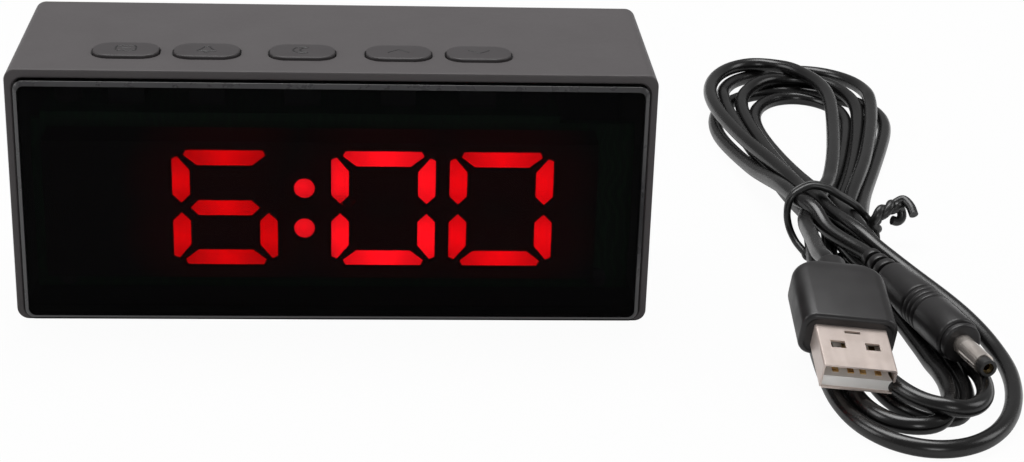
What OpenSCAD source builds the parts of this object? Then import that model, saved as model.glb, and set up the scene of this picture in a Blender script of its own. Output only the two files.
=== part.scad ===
/* [Body] */
// Width of the housing
body_w = 108; // [107:1:130]
// Height of the housing without its feet
body_h = 45; // [45:1:60]
// Depth of the housing with its rear cover
body_d = 38; // [38:1:60]
// Thickness of the housing's walls
wall = 2.2; // [1.8:0.1:2.4]
// Radius of the housing's long edges
corner_r = 2; // [1.6:0.1:3]
// Width of the front rim at the two sides
rim_side = 1.25; // [1:0.05:1.4]
// Width of the front rim along the top
rim_top = 1.5; // [1.2:0.05:1.6]
// Width of the thin lip below the lens
rim_bottom = 0.4; // [0.3:0.05:0.8]
// Diameter of the rubber feet
foot_d = 8; // [6:0.5:10]
// Height of the feet that shows below the housing
foot_proud = 0.8; // [0.6:0.1:2]

/* [Lens] */
// Thickness of the lens plate
lens_t = 2.4; // [2.2:0.1:3]
// How far the lens stands proud of the rim
lens_proud = 1.4; // [1.1:0.1:1.7]
// Width of the bevel round the lens
lens_bevel = 0.7; // [0.3:0.1:0.9]
// Radius of the lens's corners
lens_r = 1.6; // [1.2:0.1:2.4]
// Groove between the lens and the rim
lens_gap = 0.25; // [0.15:0.05:0.35]

/* [Display] */
// Distance from the housing's underside to the digits' lower edge
digit_below = 9.8; // [9:0.1:12]
// Distance from the digits' upper edge to the housing's top
digit_above = 14.4; // [13.6:0.1:18]
// Distance from the housing's left side to the first digit
digit_left = 6.8; // [6.6:0.1:10]
// Distance from the last digit to the housing's right side
digit_right = 16.9; // [16:0.1:20]
// Thickness of a level bar of a digit
bar_h = 2.7; // [1.8:0.1:3.2]
// Thickness of an upright bar of a digit
bar_w = 2.95; // [1.8:0.05:3.4]
// Gap between two bars of a digit
bar_gap = 0.7; // [0.4:0.1:1]
// Space between the two digits of a pair
digit_space = 2.4; // [1.6:0.1:3.2]
// Space between the digits on each side of the colon
colon_space = 9.1; // [7:0.1:10]
// Diameter of a colon dot
colon_d = 3.5; // [2.5:0.1:4]
// Distance between the two colon dots
colon_step = 7.3; // [5:0.1:10]
// Depth of the display's reflector block
block_t = 7; // [6:0.5:8]

/* [Buttons] */
// Length of a button
button_l = 11; // [9:0.1:12]
// Width of a button
button_w = 7.2; // [4.4:0.1:8]
// Height of a button above the housing
button_proud = 0.6; // [0.5:0.1:1.2]
// How far a button goes down
button_travel = 0.6; // [0.3:0.1:0.7]
// Distance from the front rim to the middle of the buttons
button_back = 10.8; // [10:0.1:12]

/* [Rear] */
// Thickness of the rear cover inside the housing's end
cover_t = 2.8; // [2.6:0.1:3.4]
// Thickness of the rear cover's flange, which ends the housing
flange_t = 1; // [0.8:0.1:1.4]
// Thickness of the battery door
door_t = 1.6; // [1.2:0.1:1.7]
// Diameter of one battery cell
cell_d = 10.5; // [10.5:0.1:11]
// Length of one battery cell
cell_l = 44.5; // [44:0.5:46]
// Diameter of the cover screws' threads
cover_screw_d = 2.5; // [2:0.1:3]
// Diameter of the power jack's bore
jack_bore_d = 3.6; // [3.5:0.1:4]
// Diameter of the buzzer
buzzer_d = 12; // [9:0.5:14]

/* [Lead] */
// Diameter of the cord
cord_d = 2.9; // [2.5:0.1:3.1]
// Width of the USB plug's overmould
usb_grip_w = 16; // [14:0.5:17]
// Length of the USB plug's overmould
usb_grip_l = 18; // [16:0.5:24]
// Thickness of the USB plug's overmould
usb_grip_t = 8; // [7:0.2:8.4]
// Diameter of the barrel plug's overmould
plug_grip_d = 7.6; // [6.5:0.1:7.8]
// Length of the barrel plug's overmould
plug_grip_l = 28; // [24:0.5:30]
// Outer diameter of the plug's barrel
barrel_d = 3.5; // [3.4:0.05:3.5]
// Length of the plug's barrel
barrel_l = 9.4; // [8:0.1:10]

/* [Hidden] */

$fn = 48;
SKIN = 0.01;       // overshoot of a cut past the face that it opens
PART_GAP = 0.3;    // space between pieces that move apart
SHAFT_GAP = 0.05;  // radial clearance of a plunger or a threaded screw in its hole

// Planes of the housing, with the origin below its middle on the surface it stands on
base_z = foot_proud;
top_z = base_z + body_h;
mid_z = base_z + body_h / 2;
floor_z = base_z + wall;
ceiling_z = top_z - wall;
rear_y = (body_d + lens_proud) / 2;
front_y = rear_y - body_d;
cavity_x = body_w / 2 - wall;
cover_in_y = rear_y - cover_t;
cavity_r = 1;

// Lens seat
lens_back_y = front_y - lens_proud + lens_t;
tape_t = 0.2;
seat_y = lens_back_y + tape_t;
seat_w = body_w - 2 * rim_side;
seat_h = body_h - rim_top - rim_bottom;
seat_z = base_z + rim_bottom + seat_h / 2;
tape_inset = 0.3;

// Display
film_t = 0.2;
block_y = lens_back_y + PART_GAP + film_t;
board_t = 1.6;
board_y = block_y + block_t;
board_rear_y = board_y + board_t;
resin_t = 5;
digit_h = body_h - digit_below - digit_above;
digit_w = (body_w - digit_left - digit_right - 2 * digit_space - colon_space) / 4;
digit_pitch = digit_w + digit_space;
colon_pitch = digit_w + colon_space;
display_x = (digit_left - digit_right) / 2;
display_z = base_z + digit_below + digit_h / 2;
digit_x = [display_x - colon_pitch / 2 - digit_pitch, display_x - colon_pitch / 2,
    display_x + colon_pitch / 2, display_x + colon_pitch / 2 + digit_pitch];
block_margin = 1.5;
dot_d = 2;
dot_step = 6;
dot_x = digit_x[3] + digit_w / 2 + 5;
block_left = digit_x[0] - digit_w / 2 - block_margin;
block_right = dot_x + dot_d / 2 + block_margin;
block_low = display_z - digit_h / 2 - block_margin - 0.9;
block_high = display_z + digit_h / 2 + block_margin;
bar_blunt = 0.9;
level_inset = 0.8;
// Bars in the order: top, upper right, lower right, bottom, lower left, upper left, middle
BLANK = [0, 0, 0, 0, 0, 0, 0];
ZERO = [1, 1, 1, 1, 1, 1, 0];
SIX = [1, 0, 1, 1, 1, 1, 1];
TIME = [BLANK, SIX, ZERO, ZERO];

// Boards and their small screws
board_gap = 0.4;
small_screw_d = 1.7;
small_head_d = 3.2;
small_head_t = 1.1;
board_half_w = cavity_x - board_gap;
board_low_z = floor_z + board_gap;
chip_l = 18;
chip_w = 7.5;
chip_h = 2.3;
chip_lift = 0.1;
chip_pitch = 1.27;
chip_lead_w = 0.4;
chip_lead_l = 1.4;
lug_x = cavity_x - 5.8;
lug_z = floor_z + 2.6;
lug_r = 2.2;
lug_l = 8;

// Battery bay, as far as the buttons' board reaches to it
bay_wall = 1.4;
bay_gap = 1;
bay_depth = cell_d + door_t + 1;

// Buttons from left to right, measured from the housing's left side
button_from_left = [19, 32.5, 48.5, 64.7, 78.3];
button_x = [for (x = button_from_left) x - body_w / 2];
button_y = front_y + button_back;
button_gap = 0.25;
button_corner = 0.42 * button_w;
button_forward = 0.9;
flange_w = 0.8;
button_flange_t = 1.2;
button_top_z = top_z + button_proud;
button_under_z = ceiling_z - PART_GAP - button_flange_t;
switch_w = 6;
switch_h = 3.5;
plunger_d = 3.4;
plunger_show = 1.4;
plunger_in = 0.9;
switch_top_z = button_under_z - plunger_show;
button_board_z = switch_top_z - switch_h;
post_r = 2.3;
post_side = 10;
button_board_margin = 3;
button_board_front = 7;
button_board_rear_y = rear_y - bay_depth - bay_wall - bay_gap;
post_y = button_board_rear_y - button_board_margin;
posts = [[button_x[0] - post_side, button_y], [button_x[4] + post_side, button_y],
    [(button_x[1] + button_x[2]) / 2, post_y], [(button_x[3] + button_x[4]) / 2, post_y]];
display_board_top_z = button_board_z - board_t - small_head_t - PART_GAP;

// Rear cover, battery bay and door
bay_from_left = 40;
bay_x = bay_from_left - body_w / 2;
bay_z = mid_z;
cells = 3;
cell_pitch = cell_d + 0.4;
plate_t = 0.4;
spring_l = 4.6;
spring_wire = 0.6;
spring_wide_r = 3.4;
spring_tip_r = 1.9;
bay_w = cell_l + 2 * plate_t + spring_l + 0.1;
bay_h = cells * cell_pitch + 0.3;
cell_y = rear_y - bay_depth + cell_d / 2 + 0.2;
function cell_z(i) = bay_z + (i - (cells - 1) / 2) * cell_pitch;
function cell_side(i) = i % 2 == 0 ? -1 : 1;
contact_w = cell_d - 2.5;
tab_l_out = 1;
tab_size_y = 2;
tab_size_z = 2.4;
// Contact plates as side of the bay, first cell and last cell; those for one cell only end the chain
contact_plates = [[-1, 0, 0], [1, 0, 1], [-1, 1, 2], [1, 2, 2]];
door_margin = 2;
door_w = bay_w + 2 * door_margin;
door_h = bay_h + 2 * door_margin;
door_r = 1.6;
door_low_z = bay_z - door_h / 2;
tab_x = door_w / 2 - 9;
tab_w = 7;
tab_l = 1.2;
tab_t = 0.7;
tab_y = rear_y - door_t;
tab_reach = norm([door_t, tab_l]);
latch_w = 12;
latch_h = 1.6;
cover_screw_x = body_w / 2 - wall - 4.8;
cover_screw_low = floor_z + 3.2;
cover_screw_high = ceiling_z - 3.2;
cover_boss_r = 3;
cover_boss_l = 10.9;
cover_head_d = 4.6;
cover_head_t = 1.2;
cover_screw_l = 8;
cover_corners = [for (x = [-cover_screw_x, cover_screw_x])
    for (z = [cover_screw_low, cover_screw_high]) [x, z]];
side_x = bay_x + bay_w / 2 + bay_wall;
tab_out = bay_w / 2 + bay_wall + tab_l_out;
panel_x = (side_x + cavity_x) / 2 - 1;
jack_z = base_z + 12;
jack_w = 8;
jack_h = 7;
jack_l = 11;
jack_nose_d = 6;
jack_bore_l = 9.8;
jack_pin_d = 1.3;
jack_y = cover_in_y - jack_l;
buzzer_z = base_z + 30;
buzzer_h = 7;
sound_hole_d = 1.6;
sound_ring_r = 3.2;
buzzer_back_y = cover_in_y - buzzer_h;
jack_tail = 2;
jack_back_y = jack_y - jack_tail;
wire_r = 0.5;
wire_stub = 3;
pad_near = 3;
pad_up = 4;
pad_far = 5;

// Feet
foot_recess = 0.6;
foot_x = body_w / 2 - 10;
foot_in = 9;
foot_places = [for (x = [-foot_x, foot_x]) for (y = [front_y + foot_in, rear_y - foot_in]) [x, y]];

// USB plug: middle of the shell's open end, and how the plug lies
usb_place = [84, -53, 7];
usb_turn = [9, 5, -1.4];
usb_shell_w = 12;
usb_shell_h = 4.5;
usb_shell_l = 18.5;
usb_show = 11.5;
usb_sheet = 0.3;
usb_tongue_t = 1.9;
// Windows of the shell: distance off the middle, distance from the open end, width, length
usb_window = [2.85, 6.2, 2.4, 2];
usb_pads = [-3.5, -1, 1, 3.5];
usb_pad = [1, 8, 0.2];
usb_neck_d = 5.4;
usb_neck_l = 4;

// Barrel plug: middle of the overmould's front end, and how the plug lies
plug_place = [104.2, -39.6, 6.8];
plug_turn = [0, 0, 12.5];
barrel_tip = 1.8;
barrel_root_d = barrel_d - 0.2;
barrel_root_l = 6;
insulator_d = barrel_d - 0.6;
contact_d = 1.9;
contact_bore_d = 1.35;
relief_l = 9;
relief_rings = 3;
relief_d = 4.4;

// Route of the two stretches of cord between the hank and the plugs
hank_face_y = 5;
lead_straight = 1;
usb_route = [[86.6, 4, 8.5], [86.1, 0, 9.1], [85.4, -6, 10.2], [84.9, -12, 11.2]];
plug_route = [[92.6, 4, 6.4], [94.1, 1.4, 6.7]];

// Hank: turns of cord lying flat, pinched in the middle by the tie
hank_waist = [92.3, 17.5];
hank_waist_w = 16.4;
hank_back_y = 36;
near_turns = [[92.3, 4, 8], [101.5, -36, 12.2], [96, -56, 13], [90, -40, 10]];
near_opening = [[95.5, -14, 1.5], [97, -42, 3.5]];
far_turns = [[92.3, 36, 8.2], [92.5, 93.5, 14], [104.5, 95, 14.5]];
far_opening = [[95, 54, 1.5], [93, 80, 4], [98, 86, 6]];
hank_low = cord_d;
hank_mid = 2 * cord_d;
hank_lift = 1.6;
hank_high = hank_lift + 3 * cord_d;
tie_t = 1.1;
tie_lean = 56;
tie_tail_d = 2.8;
tie_tail = [[101.4, 17.4, 5.6], [103, 18.2, 6.4], [105.6, 19.8, 7], [108.2, 21, 7.2],
    [110.6, 20.8, 5.4]];

// ---- shapes that repeat ----

// Upright slab from y0 to y1 of an outline drawn with X across and Z up
module slab(y0, y1) {
    translate([0, y1, 0]) rotate([90, 0, 0]) linear_extrude(y1 - y0) children();
}

// Level slab from z0 to z1 of an outline drawn in plan
module layer(z0, z1) {
    translate([0, 0, z0]) linear_extrude(z1 - z0) children();
}

// Rectangle with round corners, about its middle
module round_rect(w, h, r) {
    square([w - 2 * r, h], center = true);
    square([w, h - 2 * r], center = true);
    for (x = [-1, 1], y = [-1, 1]) translate([x * (w / 2 - r), y * (h / 2 - r)]) circle(r);
}

// Slot shape with full round ends, about its middle
module pill(l, w) {
    square([l - w, w], center = true);
    for (x = [-1, 1]) translate([x * (l - w) / 2, 0]) circle(w / 2);
}

// Round bar along Y
module rod(x, z, y0, y1, d) {
    translate([x, y1, z]) rotate([90, 0, 0]) cylinder(h = y1 - y0, d = d);
}

// Point at t between b and c on a smooth curve through a, b, c and d
function curve_point(a, b, c, d, t) =
    0.5 * (2 * b + (c - a) * t + (2 * a - 5 * b + 4 * c - d) * t * t
        + (3 * b - a - 3 * c + d) * t * t * t);

// Smooth route through the points, with n steps between two of them
function route(p, n) = concat(
    [for (i = [0:len(p) - 2]) for (j = [0:n - 1])
        curve_point(p[max(i - 1, 0)], p[i], p[i + 1], p[min(i + 2, len(p) - 1)], j / n)],
    [p[len(p) - 1]]);

function unit(v) = v / norm(v);

function heading(p, i) = unit(p[min(i + 1, len(p) - 1)] - p[max(i - 1, 0)]);

// Ring of corners round a point of a route; ref is a direction that the route never takes
function ring(at, along, r, sides, ref) =
    let (u = unit(cross(along, ref)), v = cross(u, along))
    [for (k = [0:sides - 1]) at + r * (cos(360 * k / sides) * u + sin(360 * k / sides) * v)];

// Tube of radius r swept along a route
module tube(p, r, sides, ref) {
    rings = len(p);
    corners = [for (i = [0:rings - 1]) each ring(p[i], heading(p, i), r, sides, ref)];
    walls = [for (i = [0:rings - 2]) for (k = [0:sides - 1])
        let (a = i * sides, b = a + sides, m = (k + 1) % sides) [a + k, a + m, b + m, b + k]];
    start = [for (k = [sides - 1:-1:0]) k];
    end = [for (k = [0:sides - 1]) (rings - 1) * sides + k];
    polyhedron(corners, concat(walls, [start], [end]), convexity = 6);
}

// ---- digits ----

// Level bar along a digit's edge, drawn as the top one
module edge_bar() {
    x = digit_w / 2 - bar_gap - level_inset;
    y = digit_h / 2;
    polygon([[-x + bar_blunt, y], [x - bar_blunt, y], [x - bar_blunt / 2, y - bar_blunt],
        [x - bar_h, y - bar_h], [-x + bar_h, y - bar_h], [-x + bar_blunt / 2, y - bar_blunt]]);
}

// Upright bar, drawn as the upper left one
module side_bar() {
    x = digit_w / 2;
    y = digit_h / 2 - bar_gap;
    foot = bar_gap + 0.2;
    polygon([[-x, y - bar_blunt], [-x + bar_blunt, y - bar_blunt / 2], [-x + bar_w, y - bar_w],
        [-x + bar_w, foot + bar_w / 2], [-x + bar_w / 2, foot], [-x, foot + bar_w / 2]]);
}

// Level bar across a digit's middle
module middle_bar() {
    x = digit_w / 2 - bar_w / 2 - bar_gap - level_inset;
    y = bar_h / 2;
    polygon([[-x + y, y], [x - y, y], [x, 0], [x - y, -y], [-x + y, -y], [-x, 0]]);
}

// The bars of one digit whose flag equals state
module digit(flags, state) {
    if (flags[0] == state) edge_bar();
    if (flags[1] == state) mirror([1, 0]) side_bar();
    if (flags[2] == state) rotate(180) side_bar();
    if (flags[3] == state) mirror([0, 1]) edge_bar();
    if (flags[4] == state) mirror([0, 1]) side_bar();
    if (flags[5] == state) side_bar();
    if (flags[6] == state) middle_bar();
}

module digits(state) {
    for (i = [0:3]) translate([digit_x[i], display_z]) digit(TIME[i], state);
}

module colon_dots() {
    for (s = [-1, 1]) translate([display_x, display_z + s * colon_step / 2]) circle(d = colon_d);
}

module indicator_dots() {
    for (i = [-1:1]) translate([dot_x, display_z + i * dot_step]) circle(d = dot_d);
}

// ---- clock ----

module lens_outline(inset, r) {
    translate([0, seat_z]) round_rect(seat_w - 2 * inset, seat_h - 2 * inset, r);
}

module cavity_outline(gap) {
    translate([0, mid_z])
        round_rect(body_w - 2 * (wall + gap), body_h - 2 * (wall + gap), cavity_r);
}

module housing() {
    color([0.09, 0.09, 0.09]) difference() {
        union() {
            difference() {
                slab(front_y, rear_y - flange_t)
                    translate([0, mid_z]) round_rect(body_w, body_h, corner_r);
                slab(front_y - SKIN, rear_y) cavity_outline(0);
            }
            housing_lugs();
            cover_bosses();
            for (p = posts) translate([p[0], p[1], button_board_z])
                cylinder(h = ceiling_z - button_board_z + SKIN, r = post_r);
        }
        slab(front_y - SKIN, seat_y) lens_outline(0, lens_r + lens_gap);
        for (x = button_x) translate([x, button_y - button_forward]) layer(ceiling_z - SKIN, top_z + SKIN)
            round_rect(button_l + 2 * button_gap, button_w + 2 * button_gap, button_corner + button_gap);
        for (p = posts) translate([p[0], p[1], button_board_z - SKIN])
            cylinder(h = ceiling_z - button_board_z - 1, d = small_screw_d + 2 * SHAFT_GAP);
        for (s = [-1, 1])
            rod(s * lug_x, lug_z, board_rear_y - SKIN, board_rear_y + lug_l - 1,
                small_screw_d + 2 * SHAFT_GAP);
        for (c = cover_corners)
            rod(c[0], c[1], cover_in_y - cover_boss_l + 1, cover_in_y + SKIN,
                cover_screw_d + 2 * SHAFT_GAP);
        for (p = foot_places) translate([p[0], p[1], base_z - SKIN])
            cylinder(h = foot_recess + SKIN, d = foot_d);
    }
}

// Lugs that the display board is screwed to, and the ribs that stop its ends
module housing_lugs() {
    for (s = [-1, 1]) {
        rod(s * lug_x, lug_z, board_rear_y, board_rear_y + lug_l, 2 * lug_r);
        translate([s * lug_x - lug_r, board_rear_y, floor_z - SKIN])
            cube([2 * lug_r, lug_l, lug_z - floor_z]);
        slab(board_rear_y, board_rear_y + lug_l) translate([s * (cavity_x - 1), display_z])
            square([2 + 2 * SKIN, digit_h], center = true);
    }
}

// Corner bosses that the rear cover is screwed to, webbed to the walls
module cover_bosses() {
    y0 = cover_in_y - cover_boss_l;
    for (sx = [-1, 1], sz = [0, 1]) {
        x = sx * cover_screw_x;
        z = sz == 0 ? cover_screw_low : cover_screw_high;
        corner = sz == 0 ? floor_z - SKIN : ceiling_z + SKIN;
        rod(x, z, y0, cover_in_y, 2 * cover_boss_r);
        slab(y0, cover_in_y) translate([sx * (cover_screw_x + cavity_x + SKIN) / 2, (z + corner) / 2])
            square([cavity_x - cover_screw_x + SKIN, abs(z - corner)], center = true);
    }
}

module lens() {
    color([0.02, 0.02, 0.025]) hull() {
        slab(front_y - lens_proud, lens_back_y - SKIN) lens_outline(lens_gap + lens_bevel, lens_r - 0.3);
        slab(front_y - lens_proud + lens_bevel, lens_back_y) lens_outline(lens_gap, lens_r);
    }
}

module lens_tape() {
    color([0.1, 0.1, 0.1]) slab(lens_back_y, seat_y) difference() {
        lens_outline(lens_gap + tape_inset, lens_r - tape_inset);
        cavity_outline(0);
    }
}

module block_outline() {
    translate([block_left, block_low]) square([block_right - block_left, block_high - block_low]);
}

module reflector_block() {
    color([0.05, 0.05, 0.05]) slab(block_y, board_y) difference() {
        block_outline();
        digits(0);
        digits(1);
        colon_dots();
        indicator_dots();
    }
}

module lit_segments() {
    color([0.9, 0.05, 0.08]) slab(block_y, block_y + resin_t) {
        digits(1);
        colon_dots();
    }
}

module unlit_segments() {
    color([0.12, 0.05, 0.05]) slab(block_y, block_y + resin_t) {
        digits(0);
        indicator_dots();
    }
}

module diffuser_film() {
    color([0.15, 0.12, 0.12]) slab(block_y - film_t, block_y) block_outline();
}

// One light chip behind each bar and dot
module led_chips() {
    chip = [1.6, 0.8];
    chip_t = 0.7;
    side = digit_w / 2 - bar_w / 2;
    edge = digit_h / 2 - bar_h / 2;
    spots = [[0, edge], [0, 0], [0, -edge],
        for (x = [-side, side]) for (y = [-edge / 2, edge / 2]) [x, y]];
    color([0.85, 0.8, 0.6]) slab(board_y - chip_t, board_y) {
        for (x = digit_x, s = spots) translate([x + s[0], display_z + s[1]]) square(chip, center = true);
        for (s = [-1, 1]) translate([display_x, display_z + s * colon_step / 2])
            square(chip, center = true);
        for (i = [-1:1]) translate([dot_x, display_z + i * dot_step]) square(chip, center = true);
    }
}

module display_board() {
    color([0.05, 0.3, 0.15]) difference() {
        slab(board_y, board_rear_y) translate([-board_half_w, board_low_z])
            square([2 * board_half_w, display_board_top_z - board_low_z]);
        for (s = [-1, 1])
            rod(s * lug_x, lug_z, board_y - SKIN, board_rear_y + SKIN, small_screw_d + 4 * SHAFT_GAP);
    }
}

module controller_chip() {
    leads = 14;
    x = display_x - chip_w;
    z = display_z - 2 * small_head_t;
    color([0.08, 0.08, 0.08]) {
        slab(board_rear_y + chip_lift, board_rear_y + chip_h)
            translate([x, z]) square([chip_l, chip_w], center = true);
        slab(board_rear_y, board_rear_y + chip_lead_w) for (i = [0:leads - 1])
            translate([x + (i - (leads - 1) / 2) * chip_pitch, z])
                square([chip_lead_w, chip_w + 2 * chip_lead_l], center = true);
    }
}

module crystal() {
    color([0.75, 0.75, 0.75]) translate([6, board_rear_y + 1.5, display_z - 6]) cylinder(h = 8, d = 3);
}

module capacitor() {
    color([0.1, 0.12, 0.2]) rod(16, display_z, board_rear_y, board_rear_y + 7, 5);
}

// Strip with pins that joins the display board to the button board above it
module board_header() {
    pins = 6;
    pitch = 2.54;
    x = button_x[0] + 5;
    under_z = button_board_z - board_t;
    strip_z = display_board_top_z - 3;
    color([0.1, 0.1, 0.1]) {
        translate([x - pins * pitch / 2, board_rear_y, strip_z]) cube([pins * pitch, pitch, 2.5]);
        for (i = [0:pins - 1])
            translate([x + (i - (pins - 1) / 2) * pitch - 0.3, board_rear_y + 1, strip_z + 2])
                cube([0.6, 0.6, under_z - strip_z - 2]);
    }
}

module button_board() {
    x0 = posts[0][0] - button_board_margin - 1;
    x1 = posts[1][0] + button_board_margin + 0.7;
    y0 = button_y - button_board_front;
    color([0.05, 0.3, 0.15]) difference() {
        translate([x0, y0, button_board_z - board_t]) cube([x1 - x0, button_board_rear_y - y0, board_t]);
        for (p = posts) translate([p[0], p[1], button_board_z - board_t - SKIN])
            cylinder(h = board_t + 2 * SKIN, d = small_screw_d + 4 * SHAFT_GAP);
    }
}

module switch_bodies() {
    well = plunger_in + button_travel + 0.2;
    color([0.12, 0.12, 0.12]) for (x = button_x) difference() {
        translate([x - switch_w / 2, button_y - switch_w / 2, button_board_z])
            cube([switch_w, switch_w, switch_h]);
        translate([x, button_y, switch_top_z - well])
            cylinder(h = well + SKIN, d = plunger_d + 2 * SHAFT_GAP);
    }
}

// Pan-head screw with its head at the origin and its thread along +Z
module screw(head_d, head_t, thread_d, thread_l) {
    difference() {
        union() {
            translate([0, 0, -head_t]) cylinder(h = head_t, d = head_d);
            cylinder(h = thread_l, d = thread_d);
        }
        for (a = [0, 90]) translate([0, 0, -head_t]) rotate(a)
            cube([head_d * 0.6, head_d * 0.16, head_t], center = true);
    }
}

module board_screws() {
    color([0.7, 0.7, 0.72]) {
        for (p = posts) translate([p[0], p[1], button_board_z - board_t])
            screw(small_head_d, small_head_t, small_screw_d, 5);
        for (s = [-1, 1]) translate([s * lug_x, board_y, lug_z]) rotate([-90, 0, 0])
            screw(small_head_d, small_head_t, small_screw_d, 6);
    }
}

module push_button(i) {
    color([0.1, 0.1, 0.1]) translate([button_x[i], button_y - button_forward]) {
        layer(button_under_z + button_flange_t - SKIN, button_top_z)
            round_rect(button_l, button_w, button_corner);
        layer(button_under_z, button_under_z + button_flange_t)
            round_rect(button_l + 2 * flange_w, button_w + 2 * flange_w, button_corner + flange_w);
    }
}

module switch_plunger(i) {
    color([0.6, 0.1, 0.1]) translate([button_x[i], button_y, switch_top_z - plunger_in])
        cylinder(h = plunger_in + plunger_show, d = plunger_d);
}

// ---- rear ----

module rear_cover() {
    y0 = rear_y - bay_depth;
    color([0.09, 0.09, 0.09]) difference() {
        union() {
            slab(rear_y - flange_t, rear_y) translate([0, mid_z]) round_rect(body_w, body_h, corner_r);
            slab(cover_in_y, rear_y - flange_t) cavity_outline(0.1);
            slab(y0 - bay_wall, cover_in_y) translate([bay_x, bay_z])
                square([bay_w + 2 * bay_wall, bay_h + 2 * bay_wall], center = true);
            slab(buzzer_back_y + 2, cover_in_y) translate([panel_x, buzzer_z]) circle(d = buzzer_d + 3);
            slab(cover_in_y - jack_l, cover_in_y) translate([panel_x, jack_z])
                square([jack_w + 3, jack_h + 3], center = true);
        }
        slab(y0, rear_y + SKIN) translate([bay_x, bay_z]) square([bay_w, bay_h], center = true);
        slab(rear_y - door_t - PART_GAP, rear_y + SKIN) translate([bay_x, bay_z])
            round_rect(door_w + 2 * PART_GAP, door_h + 2 * PART_GAP, door_r + PART_GAP);
        door_tab_slots();
        slab(rear_y - door_t, rear_y + SKIN) translate([bay_x, door_low_z + door_h + PART_GAP + 1])
            square([latch_w + 2, 2 * latch_h], center = true);
        slab(buzzer_back_y, cover_in_y) translate([panel_x, buzzer_z]) circle(d = buzzer_d + 0.2);
        slab(jack_y - SKIN, cover_in_y)
            translate([panel_x, jack_z]) square([jack_w, jack_h], center = true);
        rod(panel_x, jack_z, cover_in_y - SKIN, rear_y + SKIN, jack_nose_d + 0.2);
        rod(panel_x, buzzer_z, cover_in_y - SKIN, rear_y + SKIN, sound_hole_d);
        for (a = [0:60:300])
            rod(panel_x + sound_ring_r * cos(a), buzzer_z + sound_ring_r * sin(a), cover_in_y - SKIN,
                rear_y + SKIN, sound_hole_d);
        for (e = contact_plates) if (e[1] == e[2]) solder_tab(e, PART_GAP);
        for (c = cover_corners) {
            rod(c[0], c[1], cover_in_y - SKIN, rear_y + SKIN, cover_screw_d + 4 * SHAFT_GAP);
            rod(c[0], c[1], rear_y - cover_head_t - 0.3, rear_y + SKIN, cover_head_d + 0.4);
        }
    }
}

// Pockets for the door's tabs, deep enough for the tabs to swing in
module door_tab_slots() {
    for (s = [-1, 1]) slab(rear_y - tab_reach - PART_GAP, tab_y + tab_t + PART_GAP)
        translate([bay_x + s * tab_x - tab_w / 2 - PART_GAP, door_low_z - tab_l - PART_GAP])
            square([tab_w + 2 * PART_GAP, tab_l + 2]);
}

module battery_door() {
    color([0.1, 0.1, 0.1]) difference() {
        union() {
            slab(tab_y, rear_y) translate([bay_x, bay_z]) round_rect(door_w, door_h, door_r);
            for (s = [-1, 1]) slab(tab_y, tab_y + tab_t)
                translate([bay_x + s * tab_x - tab_w / 2, door_low_z - tab_l]) square([tab_w, tab_l + 1]);
            slab(tab_y + 0.3, rear_y - 0.4) translate([bay_x, door_low_z + door_h])
                square([latch_w, latch_h], center = true);
        }
        for (s = [-1, 1]) slab(tab_y - SKIN, rear_y + SKIN)
            translate([bay_x + s * (latch_w / 2 + 0.5), door_low_z + door_h - 3])
                square([0.8, 6 + SKIN], center = true);
        for (i = [0:2]) slab(rear_y - 0.4, rear_y + SKIN)
            translate([bay_x, door_low_z + door_h - 8 - 1.6 * i]) pill(latch_w, 0.8);
    }
}

// Helix that narrows from the plate to its tip, along X
function spring_path(i) = [for (k = [0:48])
    let (t = k / 48, r = spring_wide_r - (spring_wide_r - spring_tip_r) * t, a = 360 * 4 * t)
    [bay_x + cell_side(i) * (bay_w / 2 - plate_t - spring_wire / 2 - t * (spring_l - spring_wire)),
        cell_y + r * cos(a), cell_z(i) + r * sin(a)]];

module battery_springs() {
    color([0.75, 0.75, 0.76])
        for (i = [0:cells - 1]) tube(spring_path(i), spring_wire / 2, 6, [1, 0, 0]);
}

// Contact plates on the bay's end walls, with a tab through the wall where the chain of cells ends
module battery_plates() {
    color([0.78, 0.78, 0.78]) for (e = contact_plates) {
        translate([bay_x + e[0] * (bay_w - plate_t) / 2, cell_y, (cell_z(e[1]) + cell_z(e[2])) / 2])
            cube([plate_t, contact_w, contact_w + cell_z(e[2]) - cell_z(e[1])], center = true);
        if (e[1] == e[2]) solder_tab(e, 0);
    }
}

// Tab of one contact plate, or the slot in the bay's wall that lets it through
module solder_tab(plate, gap) {
    reach = bay_wall + tab_l_out + gap;
    translate([bay_x + plate[0] * (bay_w / 2 + reach / 2 - gap), cell_y, cell_z(plate[1])])
        cube([reach, tab_size_y + gap, tab_size_z + gap], center = true);
}

module cover_screws() {
    color([0.65, 0.65, 0.67]) for (c = cover_corners)
        translate([c[0], rear_y - cover_head_t - 0.3, c[1]]) rotate([90, 0, 0])
            screw(cover_head_d, cover_head_t, cover_screw_d, cover_screw_l);
}

module rubber_feet() {
    color([0.05, 0.05, 0.05]) for (p = foot_places) translate([p[0], p[1], 0])
        cylinder(h = base_z + foot_recess, d = foot_d);
}

module power_jack() {
    nose_y = rear_y - 0.4;
    color([0.06, 0.06, 0.06]) difference() {
        union() {
            slab(jack_y, cover_in_y) translate([panel_x, jack_z]) square([jack_w, jack_h], center = true);
            rod(panel_x, jack_z, cover_in_y - SKIN, nose_y, jack_nose_d);
        }
        rod(panel_x, jack_z, nose_y - jack_bore_l, nose_y + SKIN, jack_bore_d);
        rod(panel_x, jack_z, jack_y - SKIN, nose_y, jack_pin_d);
        translate([panel_x - 1.2, jack_y - SKIN, jack_z + jack_bore_d / 2 - 0.2])
            cube([2.4, jack_bore_l - 1, 0.5]);
    }
}

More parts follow.
